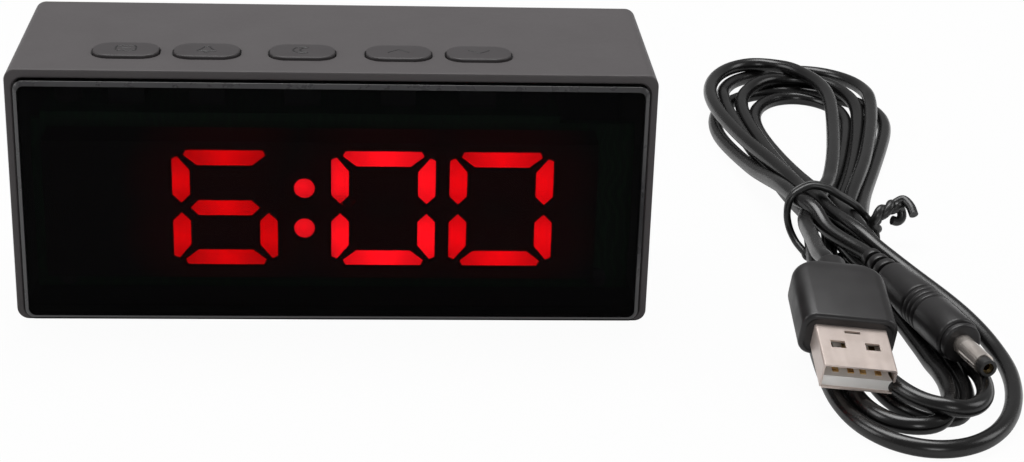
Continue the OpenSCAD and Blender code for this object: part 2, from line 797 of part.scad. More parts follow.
module jack_pin() {
    color([0.8, 0.8, 0.8]) rod(panel_x, jack_z, jack_back_y, rear_y - 1.4, jack_pin_d);
}

module jack_contact() {
    color([0.8, 0.75, 0.5]) translate([panel_x - 1.2, jack_back_y, jack_z + jack_bore_d / 2])
        cube([2.4, jack_bore_l, 0.3]);
}

module buzzer() {
    color([0.1, 0.1, 0.1]) slab(buzzer_back_y, cover_in_y) translate([panel_x, buzzer_z]) difference() {
        circle(d = buzzer_d);
        circle(d = 2);
    }
}

// Insulated wire that leaves forwards and meets the display board square to it
module wire(from, to) {
    stub = [0, wire_stub, 0];
    run = route([from - 0.3 * stub, from - stub, to + stub, to + 0.3 * stub], 4);
    tube(concat([from], run, [to]), wire_r, 6, [1, 0, 0]);
}

// Solder point on the display board, offset from a piece on the rear cover
function pad(x, z, dx, dz) = [x + dx, board_rear_y, z + dz];

module red_wires() {
    color([0.8, 0.05, 0.05]) {
        wire([panel_x, jack_back_y, jack_z], pad(panel_x, jack_z, -pad_near, pad_up));
        wire([panel_x - pad_near, buzzer_back_y, buzzer_z], pad(panel_x, buzzer_z, -pad_far, -pad_near));
        wire([bay_x + tab_out, cell_y - tab_size_y / 2, cell_z(2) - wire_r],
            pad(bay_x + tab_out, cell_z(2), pad_up, -pad_up));
    }
}

module black_wires() {
    color([0.03, 0.03, 0.03]) {
        wire([panel_x, jack_back_y, jack_z + jack_bore_d / 2 + 2 * wire_r],
            pad(panel_x, jack_z, pad_near, pad_up));
        wire([panel_x + pad_near, buzzer_back_y, buzzer_z], pad(panel_x, buzzer_z, pad_near, -pad_near));
        wire([bay_x - tab_out, cell_y - tab_size_y / 2, cell_z(0) + wire_r],
            pad(bay_x - tab_out, cell_z(0), -pad_near, pad_up));
    }
}

// ---- lead ----

module at_usb() {
    translate(usb_place) rotate(usb_turn) children();
}

module at_plug() {
    translate(plug_place) rotate(plug_turn) children();
}

module usb_overmold() {
    color([0.13, 0.13, 0.13]) at_usb() difference() {
        union() {
            intersection() {
                slab(usb_show, usb_show + usb_grip_l) round_rect(usb_grip_w, usb_grip_t, 2.4);
                translate([0, usb_show + usb_grip_l / 2 - 2, 0]) layer(-usb_grip_t, usb_grip_t)
                    round_rect(usb_grip_w, usb_grip_l + 4, 4);
            }
            rod(0, 0, usb_show + usb_grip_l - 1, usb_show + usb_grip_l + usb_neck_l, usb_neck_d);
        }
        slab(usb_show - SKIN, usb_shell_l) square([usb_shell_w, usb_shell_h], center = true);
    }
}

module usb_shell() {
    color([0.82, 0.8, 0.78]) at_usb() difference() {
        slab(0, usb_shell_l) square([usb_shell_w, usb_shell_h], center = true);
        slab(-SKIN, usb_shell_l + SKIN)
            square([usb_shell_w - 2 * usb_sheet, usb_shell_h - 2 * usb_sheet], center = true);
        for (s = [-1, 1]) translate([s * usb_window[0], usb_window[1], 0])
            cube([usb_window[2], usb_window[3], 2 * usb_shell_h], center = true);
        translate([0, usb_show - 1.6, usb_shell_h / 2]) cube([2.6, 0.7, 1], center = true);
    }
}

module usb_tongue() {
    color([0.9, 0.88, 0.86]) at_usb() slab(0.4, usb_shell_l)
        translate([0, -usb_shell_h / 2 + usb_sheet + usb_tongue_t / 2])
            square([usb_shell_w - 2 * usb_sheet, usb_tongue_t], center = true);
}

module usb_contacts() {
    z = -usb_shell_h / 2 + usb_sheet + usb_tongue_t;
    color([0.85, 0.68, 0.3]) at_usb() for (x = usb_pads)
        translate([x - usb_pad[0] / 2, 1.6, z]) cube(usb_pad);
}

// Outline of one ring of the relief: a groove, then a band of radius r + 0.5
function relief_ring(y, step, r) =
    [[r - 0.3, y], [r - 0.3, y + 0.4 * step], [r + 0.5, y + 0.4 * step], [r + 0.5, y + step]];

module plug_overmold() {
    r = plug_grip_d / 2;
    step = relief_l / relief_rings;
    color([0.1, 0.1, 0.1]) at_plug() rotate([-90, 0, 0]) difference() {
        rotate_extrude() polygon(concat(
            [[0, 0], [r - 0.5, 0], [r, 0.6], [r, 0.4 * plug_grip_l], [r - 0.7, plug_grip_l - 1],
                [r - 1.2, plug_grip_l]],
            [for (i = [0:relief_rings - 1])
                each relief_ring(plug_grip_l + i * step, step, relief_d / 2 - 0.3 * i)],
            [[0, plug_grip_l + relief_l]]));
        translate([0, 0, -SKIN]) cylinder(h = barrel_root_l + SKIN, d = barrel_root_d);
    }
}

module plug_tube(outer_d, inner_d, y0, y1) {
    at_plug() difference() {
        rod(0, 0, y0, y1, outer_d);
        rod(0, 0, y0 - SKIN, y1 + SKIN, inner_d);
    }
}

module plug_barrel() {
    color([0.8, 0.78, 0.75]) {
        plug_tube(barrel_d, insulator_d, -barrel_l + barrel_tip, 0);
        plug_tube(barrel_root_d, insulator_d, 0, barrel_root_l);
    }
}

module plug_insulator() {
    color([0.05, 0.05, 0.05]) plug_tube(insulator_d, contact_d, -barrel_l, barrel_root_l);
}

module plug_center_contact() {
    color([0.8, 0.7, 0.4]) {
        plug_tube(contact_d, contact_bore_d, -barrel_l + barrel_tip / 2, 0);
        at_plug() rod(0, 0, 0, barrel_root_l, contact_d);
    }
}

// Outline hulled round discs, each given as X, Y and radius
module round_hull(discs) {
    hull() for (d = discs) translate([d[0], d[1]]) circle(d[2], $fn = 32);
}

// Ring of turns on one side of the waist, cut off at the plane where the waist takes over
module hank_loop(outer, opening, top, from_y, to_y) {
    layer(0, top) intersection() {
        difference() {
            round_hull(outer);
            round_hull(opening);
        }
        translate([hank_waist[0] - body_w, from_y]) square([2 * body_w, to_y - from_y]);
    }
}

module cord_hank() {
    color([0.08, 0.08, 0.08]) {
        hank_loop(near_turns, near_opening, hank_low, -body_w, hank_face_y + 3);
        hank_loop(far_turns, far_opening, hank_mid, hank_back_y - 8, 2 * body_w);
        translate([hank_waist[0] - hank_waist_w / 2, hank_face_y, hank_lift])
            cube([hank_waist_w, hank_back_y - hank_face_y, hank_high - hank_lift]);
    }
}

// Place in the part's frame of a point given in the USB plug's own frame
function turn_x(p, a) = [p[0], p[1] * cos(a) - p[2] * sin(a), p[1] * sin(a) + p[2] * cos(a)];
function turn_y(p, a) = [p[0] * cos(a) + p[2] * sin(a), p[1], -p[0] * sin(a) + p[2] * cos(a)];
function turn_z(p, a) = [p[0] * cos(a) - p[1] * sin(a), p[0] * sin(a) + p[1] * cos(a), p[2]];
function usb_point(p) = usb_place + turn_z(turn_y(turn_x(p, usb_turn[0]), usb_turn[1]), usb_turn[2]);
function plug_point(p) = plug_place + turn_z(p, plug_turn[2]);

// Cord that leaves the hank square to its face and enters a plug along the plug's axis
module lead(points, lead_in, entry) {
    tube(concat([points[0] + [0, lead_straight, 0]], route(concat(points, [lead_in]), 2), [entry]),
        cord_d / 2, 8, [0, 0, 1]);
}

module usb_lead() {
    tail = usb_show + usb_grip_l + usb_neck_l;
    color([0.12, 0.12, 0.12]) lead(usb_route, usb_point([0, tail + 2, 0]), usb_point([0, tail, 0]));
}

module plug_lead() {
    tail = plug_grip_l + relief_l;
    color([0.08, 0.08, 0.08]) lead(plug_route, plug_point([0, tail + 2, 0]), plug_point([0, tail, 0]));
}

module twist_tie() {
    inner_w = hank_waist_w + 0.4;
    inner_h = (hank_high - hank_lift + 0.1 + tie_t * sin(tie_lean)) / cos(tie_lean);
    low = 0.02 + tie_t * cos(tie_lean);
    color([0.07, 0.07, 0.07]) {
        translate([hank_waist[0], hank_waist[1], low + inner_h * cos(tie_lean) / 2])
            rotate([90 - tie_lean, 0, 0]) linear_extrude(tie_t) difference() {
                round_rect(inner_w + 2 * tie_t, inner_h + 2 * tie_t, 2);
                round_rect(inner_w, inner_h, 1);
            }
        tube(route(tie_tail, 3), tie_tail_d / 2, 8, [0, 0, 1]);
    }
}

housing();
rear_cover();
lens();
lens_tape();
reflector_block();
lit_segments();
unlit_segments();
diffuser_film();
led_chips();
display_board();
controller_chip();
crystal();
capacitor();
board_header();
button_board();
switch_bodies();
board_screws();
push_button(0);  // button_mode
push_button(1);  // button_alarm
push_button(2);  // button_snooze
push_button(3);  // button_up
push_button(4);  // button_down
switch_plunger(0);  // plunger_mode
switch_plunger(1);  // plunger_alarm
switch_plunger(2);  // plunger_snooze
switch_plunger(3);  // plunger_up
switch_plunger(4);  // plunger_down
battery_door();
battery_springs();
battery_plates();
cover_screws();
rubber_feet();
power_jack();
jack_pin();
jack_contact();
buzzer();
red_wires();
black_wires();
usb_overmold();
usb_shell();
usb_tongue();
usb_contacts();
plug_overmold();
plug_barrel();
plug_insulator();
plug_center_contact();
cord_hank();
usb_lead();
plug_lead();
twist_tie();
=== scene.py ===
"""Looks of a digital alarm clock and its power lead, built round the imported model.

Every length is in metres in the part's own frame: +X to the right seen from the front, +Y to the
rear, +Z up, with the origin below the middle of the clock on the surface that it stands on. The
lead, the plugs and the keys are drawn in millimetres and scaled by MM when they are made.
"""

import logging
import math
from dataclasses import dataclass, field
from enum import Enum
from functools import reduce
from typing import Callable, Iterable, Optional, Sequence

import bmesh
import bpy
import numpy as np
from mathutils import Matrix


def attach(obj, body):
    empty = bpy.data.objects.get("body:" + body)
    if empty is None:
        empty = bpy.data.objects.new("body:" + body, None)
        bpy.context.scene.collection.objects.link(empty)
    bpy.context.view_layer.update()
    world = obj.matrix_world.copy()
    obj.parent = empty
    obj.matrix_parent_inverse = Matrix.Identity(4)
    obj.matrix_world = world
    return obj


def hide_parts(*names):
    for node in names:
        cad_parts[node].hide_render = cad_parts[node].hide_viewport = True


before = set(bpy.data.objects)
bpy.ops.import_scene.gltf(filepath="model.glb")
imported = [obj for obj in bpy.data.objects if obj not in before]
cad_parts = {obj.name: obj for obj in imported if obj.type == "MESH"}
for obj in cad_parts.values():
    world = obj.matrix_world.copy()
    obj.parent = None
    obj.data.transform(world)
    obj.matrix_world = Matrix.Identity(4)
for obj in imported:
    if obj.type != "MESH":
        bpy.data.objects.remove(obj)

MM = 0.001
CLOCK_BODY = "clock"
LOG = logging.getLogger("alarm_clock")

Point = tuple[float, float, float]
Colour = tuple[float, float, float]
Piece = bpy.types.Object
Socket = bpy.types.NodeSocket
Material = bpy.types.Material
Picker = Callable[[np.ndarray, np.ndarray], np.ndarray]


# ---------------------------------------------------------------- surfaces


def link(name: str, data: bpy.types.ID) -> Piece:
    """Put a mesh, a lamp or a camera in the scene as an object of its own."""
    made = bpy.data.objects.new(name, data)
    bpy.context.scene.collection.objects.link(made)
    return made


def make_object(name: str, vertices: np.ndarray, faces: Iterable[Sequence[int]]) -> Piece:
    """Make a mesh object at the origin and link it to the scene.

    Args:
        name: Name of the object and of its mesh.
        vertices: Array of shape (n, 3), in metres.
        faces: Corner indices of each face, counter-clockwise seen from outside.

    Returns:
        The new object.
    """
    mesh = bpy.data.meshes.new(name)
    mesh.from_pydata([tuple(v) for v in np.asarray(vertices, float)], [], [tuple(f) for f in faces])
    mesh.validate()
    mesh.update()
    return link(name, mesh)


def shade(piece: Piece, sharp_above: float) -> Piece:
    """Shade a piece smooth, but keep edges whose faces turn by more than some degrees crisp."""
    mesh = piece.data
    mesh.polygons.foreach_set("use_smooth", np.ones(len(mesh.polygons), bool))
    mesh.set_sharp_from_angle(angle=math.radians(sharp_above))
    mesh.update()
    return piece


def skin(name: str, rings: np.ndarray) -> Piece:
    """Join closed rings of points into one surface, with each end closed by a fan.

    Args:
        name: Name of the piece.
        rings: Array of shape (rings, points in a ring, 3).

    Returns:
        The piece, with outward faces.
    """
    count, around = rings.shape[:2]
    row = np.arange(around)
    following = np.roll(row, -1)
    start = (np.arange(count - 1) * around)[:, None]
    quads = np.stack([start + row, start + following, start + around + following, start + around + row], -1)
    faces = quads.reshape(-1, 4).tolist()
    total = count * around
    for first, middle in ((0, total), (total - around, total + 1)):
        faces += [[first + a, first + b, middle] for a, b in zip(row.tolist(), following.tolist())]
    vertices = np.concatenate([rings.reshape(-1, 3), rings[0].mean(0)[None], rings[-1].mean(0)[None]])
    piece = make_object(name, vertices, faces)
    shape = bmesh.new()
    shape.from_mesh(piece.data)
    bmesh.ops.recalc_face_normals(shape, faces=shape.faces)
    shape.to_mesh(piece.data)
    shape.free()
    return piece


def merged(name: str, pieces: Sequence[Piece]) -> Piece:
    """Put several closed pieces into one object and remove the separate ones."""
    shape = bmesh.new()
    for piece in pieces:
        shape.from_mesh(piece.data)
    mesh = bpy.data.meshes.new(name)
    shape.to_mesh(mesh)
    shape.free()
    for piece in pieces:
        old = piece.data
        bpy.data.objects.remove(piece)
        bpy.data.meshes.remove(old)
    return link(name, mesh)


def rounded_rectangle(width: float, height: float, radius: float, steps: int) -> np.ndarray:
    """Corner-rounded rectangle about the origin, counter-clockwise.

    Each corner is a quarter circle c + r (cos t, sin t) about its own centre c.

    Args:
        width: Overall width.
        height: Overall height.
        radius: Corner radius.
        steps: Points in each corner, less one.

    Returns:
        Array of shape (4 * (steps + 1), 2).
    """
    turn = np.linspace(0.0, math.pi / 2, steps + 1)
    corners = []
    for index, (sx, sy) in enumerate(((1, 1), (-1, 1), (-1, -1), (1, -1))):
        angle = turn + index * math.pi / 2
        centre = np.array([sx * (width / 2 - radius), sy * (height / 2 - radius)])
        corners.append(centre + radius * np.stack([np.cos(angle), np.sin(angle)], -1))
    return np.concatenate(corners)


def spline(points: Sequence[Sequence[float]], steps: int) -> np.ndarray:
    """Smooth curve through points, with the same number of steps between each two.

    The stretch from b to c, with a before and d after, is the Catmull-Rom cubic
    0.5 (2b + (c-a) t + (2a-5b+4c-d) t^2 + (3b-a-3c+d) t^3).

    Args:
        points: The points to pass through.
        steps: Steps between two points.

    Returns:
        Array of shape ((points - 1) * steps + 1, 3).
    """
    given = np.asarray(points, float)
    padded = np.vstack([2 * given[0] - given[1], given, 2 * given[-1] - given[-2]])
    t = np.linspace(0.0, 1.0, steps, endpoint=False)[None, :, None]
    a, b, c, d = (padded[k:len(padded) - 3 + k, None, :] for k in range(4))
    curve = 0.5 * (2 * b + (c - a) * t + (2 * a - 5 * b + 4 * c - d) * t**2 + (3 * b - a - 3 * c + d) * t**3)
    return np.vstack([curve.reshape(-1, 3), given[-1:]])


def even_steps(line: np.ndarray, step: float) -> np.ndarray:
    """The same line with points a fixed distance apart, as near as fits its length."""
    run = np.concatenate([[0.0], np.cumsum(np.linalg.norm(np.diff(line, axis=0), axis=1))])
    marks = np.linspace(0.0, run[-1], int(round(run[-1] / step)) + 1)
    return np.stack([np.interp(marks, run, line[:, axis]) for axis in range(3)], -1)


def blur(line: np.ndarray, reach: float) -> np.ndarray:
    """Line smoothed along itself by a bell curve whose width is in steps of the line."""
    half = int(3 * reach)
    weight = np.exp(-0.5 * (np.arange(-half, half + 1) / reach) ** 2)
    weight /= weight.sum()
    before = 2 * line[0] - line[half:0:-1]
    after = 2 * line[-1] - line[-2:-half - 2:-1]
    longer = np.vstack([before, line, after])
    return np.stack([np.convolve(longer[:, axis], weight, "valid") for axis in range(3)], -1)


def tube_rings(line: np.ndarray, radius: float, around: int) -> np.ndarray:
    """Rings of a tube along a line, carried from point to point so that they never spin about it.

    Args:
        line: Centreline, array of shape (n, 3).
        radius: Radius of the tube.
        around: Points in a ring.

    Returns:
        Array of shape (n, around, 3).
    """
    heading = np.gradient(line, axis=0)
    heading /= np.linalg.norm(heading, axis=1)[:, None]
    guess = np.array([0.0, 0.0, 1.0]) if abs(heading[0][2]) < 0.9 else np.array([1.0, 0.0, 0.0])
    side = np.cross(heading[0], guess)
    sides = [side / np.linalg.norm(side)]
    for way in heading[1:]:
        level = sides[-1] - way * np.dot(sides[-1], way)
        sides.append(level / np.linalg.norm(level))
    across = np.array(sides)
    up = np.cross(across, heading)
    angle = np.linspace(0.0, 2 * math.pi, around, endpoint=False)
    circle = np.cos(angle)[None, :, None] * across[:, None] + np.sin(angle)[None, :, None] * up[:, None]
    return line[:, None] + radius * circle


def lofted(sections: Sequence[tuple[float, float, float, float]], steps: int) -> np.ndarray:
    """Rings of corner-rounded rectangles, one behind the other along Y.

    Args:
        sections: Place along Y, width, height and corner radius of each ring.
        steps: Steps in each corner.

    Returns:
        Array of shape (sections, points, 3).
    """
    rings = []
    for y, width, height, radius in sections:
        flat = rounded_rectangle(width, height, min(radius, width / 2, height / 2), steps)
        rings.append(np.stack([flat[:, 0], np.full(len(flat), y), flat[:, 1]], -1))
    return np.array(rings)


def turned(profile: Sequence[tuple[float, float]], around: int) -> np.ndarray:
    """Rings about the Y axis from pairs of a place along it and a radius."""
    angle = np.linspace(0.0, 2 * math.pi, around, endpoint=False)
    given = np.asarray(profile, float)
    along, radius = given[:, 0, None], given[:, 1, None]
    return np.stack([radius * np.cos(angle), np.broadcast_to(along, (len(given), around)),
                     radius * np.sin(angle)], -1)


def eased(start: float, end: float, low: float, high: float) -> list[tuple[float, float]]:
    """Quarter-ellipse easing of a value from low to high over a run, steepest at the start."""
    t = np.linspace(0.0, math.pi / 2, 6)
    return [(float(a), float(b)) for a, b in
            zip(start + (end - start) * (1 - np.cos(t)), low + (high - low) * np.sin(t))]


def smooth_step(value: np.ndarray, low: float, high: float) -> np.ndarray:
    """0 below low, 1 above high, and 3t^2 - 2t^3 between."""
    t = np.clip((value - low) / (high - low), 0.0, 1.0)
    return t * t * (3 - 2 * t)


def apply_modifiers(piece: Piece) -> None:
    """Bake a piece's modifiers into its mesh."""
    graph = bpy.context.evaluated_depsgraph_get()
    baked = bpy.data.meshes.new_from_object(piece.evaluated_get(graph))
    piece.modifiers.clear()
    piece.data = baked


def rides(piece: Piece, finish: "Finish", body: str, *nodes: str) -> Piece:
    """Give a finished piece its material and its body, and hide the CAD nodes that it stands for."""
    finish.on(piece)
    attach(piece, body)
    if nodes:
        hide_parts(*nodes)
    return piece


def moulded_copy(node: str, name: str, edge: float, segments: int, finish: "Finish", chosen: Picker,
                 body: str = CLOCK_BODY) -> Piece:
    """Copy of a CAD node with some of its edges rounded, to stand for it.

    Args:
        node: The CAD node.
        name: Name of the new piece.
        edge: Width of the rounding.
        segments: Facets in each rounding.
        finish: What the piece is made of.
        chosen: Shares of the width that edges get, from arrays of their middles and headings.
        body: Body that the piece rides on.

    Returns:
        The new piece, which replaces the node.
    """
    same_place, same_plane, creased = 2e-6, math.radians(0.6), math.radians(25)
    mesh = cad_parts[node].data.copy()
    mesh.name = name
    piece = link(name, mesh)
    shape = bmesh.new()
    shape.from_mesh(mesh)
    bmesh.ops.remove_doubles(shape, verts=shape.verts, dist=same_place)
    bmesh.ops.dissolve_limit(shape, angle_limit=same_plane, verts=shape.verts, edges=shape.edges)
    layer = shape.edges.layers.float.new("bevel_weight_edge")
    sharp = [e for e in shape.edges if len(e.link_faces) == 2 and e.calc_face_angle(0.0) > creased]
    ends = np.array([[tuple(e.verts[0].co), tuple(e.verts[1].co)] for e in sharp])
    way = ends[:, 1] - ends[:, 0]
    heading = way / np.maximum(np.linalg.norm(way, axis=1), 1e-9)[:, None]
    for line, wanted in zip(sharp, chosen(ends.mean(1), heading)):
        line[layer] = float(wanted)
    shape.to_mesh(mesh)
    shape.free()
    mesh.materials.clear()
    rounding = piece.modifiers.new("edge rounding", "BEVEL")
    rounding.width = edge
    rounding.segments = segments
    rounding.limit_method = "WEIGHT"
    rounding.use_clamp_overlap = False
    apply_modifiers(piece)
    shade(piece, 30)
    levelling = piece.modifiers.new("flat faces", "WEIGHTED_NORMAL")
    levelling.mode = "FACE_AREA"
    levelling.weight = 100
    levelling.keep_sharp = True
    apply_modifiers(piece)
    return rides(piece, finish, body, node)


# ---------------------------------------------------------------- finishes


class Graph:
    """Node tree, with a few named steps for building it."""

    def __init__(self, tree: bpy.types.NodeTree) -> None:
        """Work in a node tree."""
        self.tree = tree

    def add(self, kind: str, **values: object) -> bpy.types.Node:
        """Add a node and set its plain properties."""
        node = self.tree.nodes.new(kind)
        for key, value in values.items():
            setattr(node, key, value)
        return node

    def join(self, source: Socket, target: Socket) -> None:
        """Link one socket to another."""
        self.tree.links.new(source, target)

    def maths(self, operation: str, first: Socket, second: Socket | float) -> Socket:
        """Result of an operation on a socket and another socket or a number."""
        node = self.add("ShaderNodeMath", operation=operation)
        self.join(first, node.inputs[0])
        if isinstance(second, float):
            node.inputs[1].default_value = second
        else:
            self.join(second, node.inputs[1])
        return node.outputs[0]

    def seen_white(self, shares: dict[str, float], lit: Socket, white: Socket, out: Socket) -> None:
        """Show white to some rays, by a share for each kind, and the lit surface otherwise.

        Args:
            shares: How much of the white each kind of ray sees.
            lit: Shader of the lit surface.
            white: Shader of plain white.
            out: Where the result goes.
        """
        path = self.add("ShaderNodeLightPath")
        scaled = [self.maths("MULTIPLY", path.outputs[f"Is {ray} Ray"], part) for ray, part in shares.items()]
        mix = self.add("ShaderNodeMixShader")
        self.join(reduce(lambda a, b: self.maths("MAXIMUM", a, b), scaled), mix.inputs[0])
        self.join(lit, mix.inputs[1])
        self.join(white, mix.inputs[2])
        self.join(mix.outputs[0], out)


class Paint(Graph):
    """Node graph of one finish round a principled shader, in object coordinates."""

    def __init__(self, name: str) -> None:
        """Start a finish."""
        self.material = bpy.data.materials.new(f"{name}_finish")
        self.material.use_nodes = True
        super().__init__(self.material.node_tree)
        self.shader = self.tree.nodes["Principled BSDF"]
        self.where = self.add("ShaderNodeTexCoord").outputs["Object"]

    def feed(self, name: str, source: Socket) -> None:
        """Link a socket to one of the shader's."""
        self.join(source, self.shader.inputs[name])

    def set(self, **values: object) -> None:
        """Set sockets of the shader by name, with _ for a space."""
        for key, value in values.items():
            self.shader.inputs[key.replace("_", " ")].default_value = value

    def stretched(self, scale: Point) -> Socket:
        """Object coordinates scaled by a different amount each way."""
        mapping = self.add("ShaderNodeMapping")
        mapping.inputs["Scale"].default_value = scale
        self.join(self.where, mapping.inputs["Vector"])
        return mapping.outputs["Vector"]

    def speckle(self, size: float, detail: float, rough: float, where: Optional[Socket] = None) -> Socket:
        """Cloudy pattern whose blots are about a size in metres."""
        noise = self.add("ShaderNodeTexNoise")
        for key, number in (("Scale", 1.0 / size), ("Detail", detail), ("Roughness", rough)):
            noise.inputs[key].default_value = number
        self.join(where or self.where, noise.inputs["Vector"])
        return noise.outputs["Fac"]

    def spread(self, value: Socket, low: float, high: float, start: float = 0.0, end: float = 1.0) -> Socket:
        """Value between low and high taken to a value between start and end."""
        ramp = self.add("ShaderNodeMapRange")
        for key, number in zip(("From Min", "From Max", "To Min", "To Max"), (low, high, start, end)):
            ramp.inputs[key].default_value = number
        self.join(value, ramp.inputs["Value"])
        return ramp.outputs["Result"]

    def blend(self, share: Socket, first: Socket | Colour, second: Colour) -> Socket:
        """Colour that goes from the first, plain or from a socket, to the second with a share."""
        mix = self.add("ShaderNodeMix", data_type="RGBA")
        low, high = (s for s in mix.inputs if s.type == "RGBA")
        if isinstance(first, tuple):
            low.default_value = (*first, 1.0)
        else:
            self.join(first, low)
        high.default_value = (*second, 1.0)
        self.join(share, mix.inputs["Factor"])
        return next(s for s in mix.outputs if s.type == "RGBA")

    def feel(self, *layers: tuple[Socket, float]) -> None:
        """Relief from height patterns, each with its depth in metres."""
        normal = None
        for height, depth in layers:
            bump = self.add("ShaderNodeBump")
            bump.inputs["Distance"].default_value = depth
            self.join(height, bump.inputs["Height"])
            if normal is not None:
                self.join(normal, bump.inputs["Normal"])
            normal = bump.outputs["Normal"]
        self.feed("Normal", normal)


CLOUD = (0.3, 0.7)  # where nearly all of a cloudy pattern's values lie


def grey(level: float) -> Colour:
    """Colour with no hue."""
    return (level, level, level)


@dataclass(frozen=True)
class Moulding:
    """Moulded plastic or rubber with a fine spark-eroded grain.

    Its colour wanders a little between two tones over a few millimetres, its gloss varies with
    handling, and its surface holds a fine grain over a slow unevenness from cooling.
    """

    name: str
    tone: Colour
    second_tone: Colour
    gloss: tuple[float, float]
    grain: float = 0.00022
    grain_depth: float = 0.000006
    wave: float = 0.006
    wave_depth: float = 0.00001
    specular: float = 0.5
    sheen: float = 0.0

    def make(self) -> Material:
        """Build the material."""
        paint = Paint(self.name)
        blots = paint.spread(paint.speckle(0.011, 4.0, 0.6), *CLOUD)
        fine = paint.speckle(self.grain, 2.0, 0.5)
        slow = paint.speckle(self.wave, 2.0, 0.4)
        paint.feed("Base Color", paint.blend(blots, self.tone, self.second_tone))
        paint.feed("Roughness", paint.spread(paint.speckle(0.004, 5.0, 0.65), *CLOUD, *self.gloss))
        paint.feel((slow, self.wave_depth), (fine, self.grain_depth))
        paint.set(Specular_IOR_Level=self.specular, Sheen_Weight=self.sheen, Sheen_Roughness=0.35)
        return paint.material


@dataclass(frozen=True)
class Plating:
    """Bright plated or drawn metal with faint draw lines along one way and light tarnish."""

    name: str
    tone: Colour
    tarnish: Colour
    gloss: tuple[float, float]
    lines: Point = (900.0, 40.0, 900.0)
    depth: float = 0.0000015
    metal: float = 1.0

    def make(self) -> Material:
        """Build the material."""
        paint = Paint(self.name)
        streak = paint.speckle(1.0, 3.0, 0.5, paint.stretched(self.lines))
        stain = paint.spread(paint.speckle(0.003, 5.0, 0.6), 0.42, 0.75)
        paint.feed("Base Color", paint.blend(stain, self.tone, self.tarnish))
        paint.feed("Roughness", paint.spread(streak, *CLOUD, *self.gloss))
        paint.feel((streak, self.depth))
        paint.set(Metallic=self.metal)
        return paint.material


@dataclass(frozen=True)
class SmokedGlass:
    """Near-black polished acrylic that only a bright light behind it comes through.

    The polish has a very slow unevenness, so reflections bend slightly, and a trace of dust.
    """

    name: str
    tone: Colour
    see_through: float

    def make(self) -> Material:
        """Build the material."""
        paint = Paint(self.name)
        dust = paint.spread(paint.speckle(0.0007, 6.0, 0.7), 0.66, 0.80)
        paint.feed("Base Color", paint.blend(dust, self.tone, grey(0.004)))
        paint.feed("Roughness", paint.spread(paint.speckle(0.002, 5.0, 0.6), 0.3, 0.75, 0.06, 0.11))
        paint.feel((paint.speckle(0.02, 1.0, 0.3), 0.000012))
        paint.set(Alpha=1.0 - self.see_through, IOR=1.49, Specular_IOR_Level=0.04)
        return paint.material


def lamp_places() -> list[Point]:
    """Middle of each lit bar and dot across and up the display, in metres, and how far its light reaches."""
    level, upright, middle = (9.0, 6.4), (7.3, 5.0, 4.9), 21.0
    outer = [(0.0, s * level[0], level[1]) for s in (-1, 1)]
    outer += [(-upright[0], s * upright[1], upright[2]) for s in (-1, 1)]
    six = outer + [(0.0, 0.0, level[1]), (upright[0], -upright[1], upright[2])]
    zero = outer + [(upright[0], s * upright[1], upright[2]) for s in (-1, 1)]
    dots = [(-0.3, s * 3.65 + 0.3, 2.4) for s in (-1, 1)]
    return [((digit + x) * MM, (middle + z) * MM, reach * MM)
            for digit, bars in ((-18.4, six), (-5.05, dots), (8.3, zero), (28.3, zero))
            for x, z, reach in bars]


@dataclass(frozen=True)
class Glow:
    """Resin lit from behind, brightest over each lamp and dimmer away from it; on the reflector and
    the unlit bars it is painted glow, standing in for light spilled from the lit bars.

    Attributes:
        steps: Pairs of a place across the display, in metres, and the tone from there on.
        strength: How bright it is over a lamp.
        fade: Distances from a lamp, as shares of its reach, between which the light fades.
        left: Share of the light that is left beyond them.
    """

    name: str
    steps: tuple[tuple[float, Colour], ...]
    strength: float
    fade: tuple[float, float] = (0.0, 1.0)
    left: float = 0.5

    def nearness(self, paint: Paint) -> Socket:
        """Distance to the nearest lamp as a share of its reach."""
        flat = paint.stretched((1.0, 0.0, 1.0))
        shares = []
        for x, z, reach in lamp_places():
            away = paint.add("ShaderNodeVectorMath", operation="DISTANCE")
            away.inputs[1].default_value = (x, 0.0, z)
            paint.join(flat, away.inputs[0])
            shares.append(paint.maths("DIVIDE", away.outputs["Value"], reach))
        return reduce(lambda a, b: paint.maths("MINIMUM", a, b), shares)

    def make(self) -> Material:
        """Build the material."""
        paint = Paint(self.name)
        split = paint.add("ShaderNodeSeparateXYZ")
        paint.join(paint.where, split.inputs["Vector"])
        tone: Socket | Colour = self.steps[0][1]
        for place, colour in self.steps:
            tone = paint.blend(paint.spread(split.outputs["X"], place, place + 0.0005), tone, colour)
        paint.feed("Emission Color", tone)
        paint.feed("Base Color", tone)
        grain = paint.spread(paint.speckle(0.0035, 2.0, 0.4), *CLOUD, 0.93, 1.07)
        light = paint.spread(self.nearness(paint), *self.fade, self.strength, self.left * self.strength)
        paint.feed("Emission Strength", paint.maths("MULTIPLY", grain, light))
        paint.set(Roughness=0.5)
        return paint.material


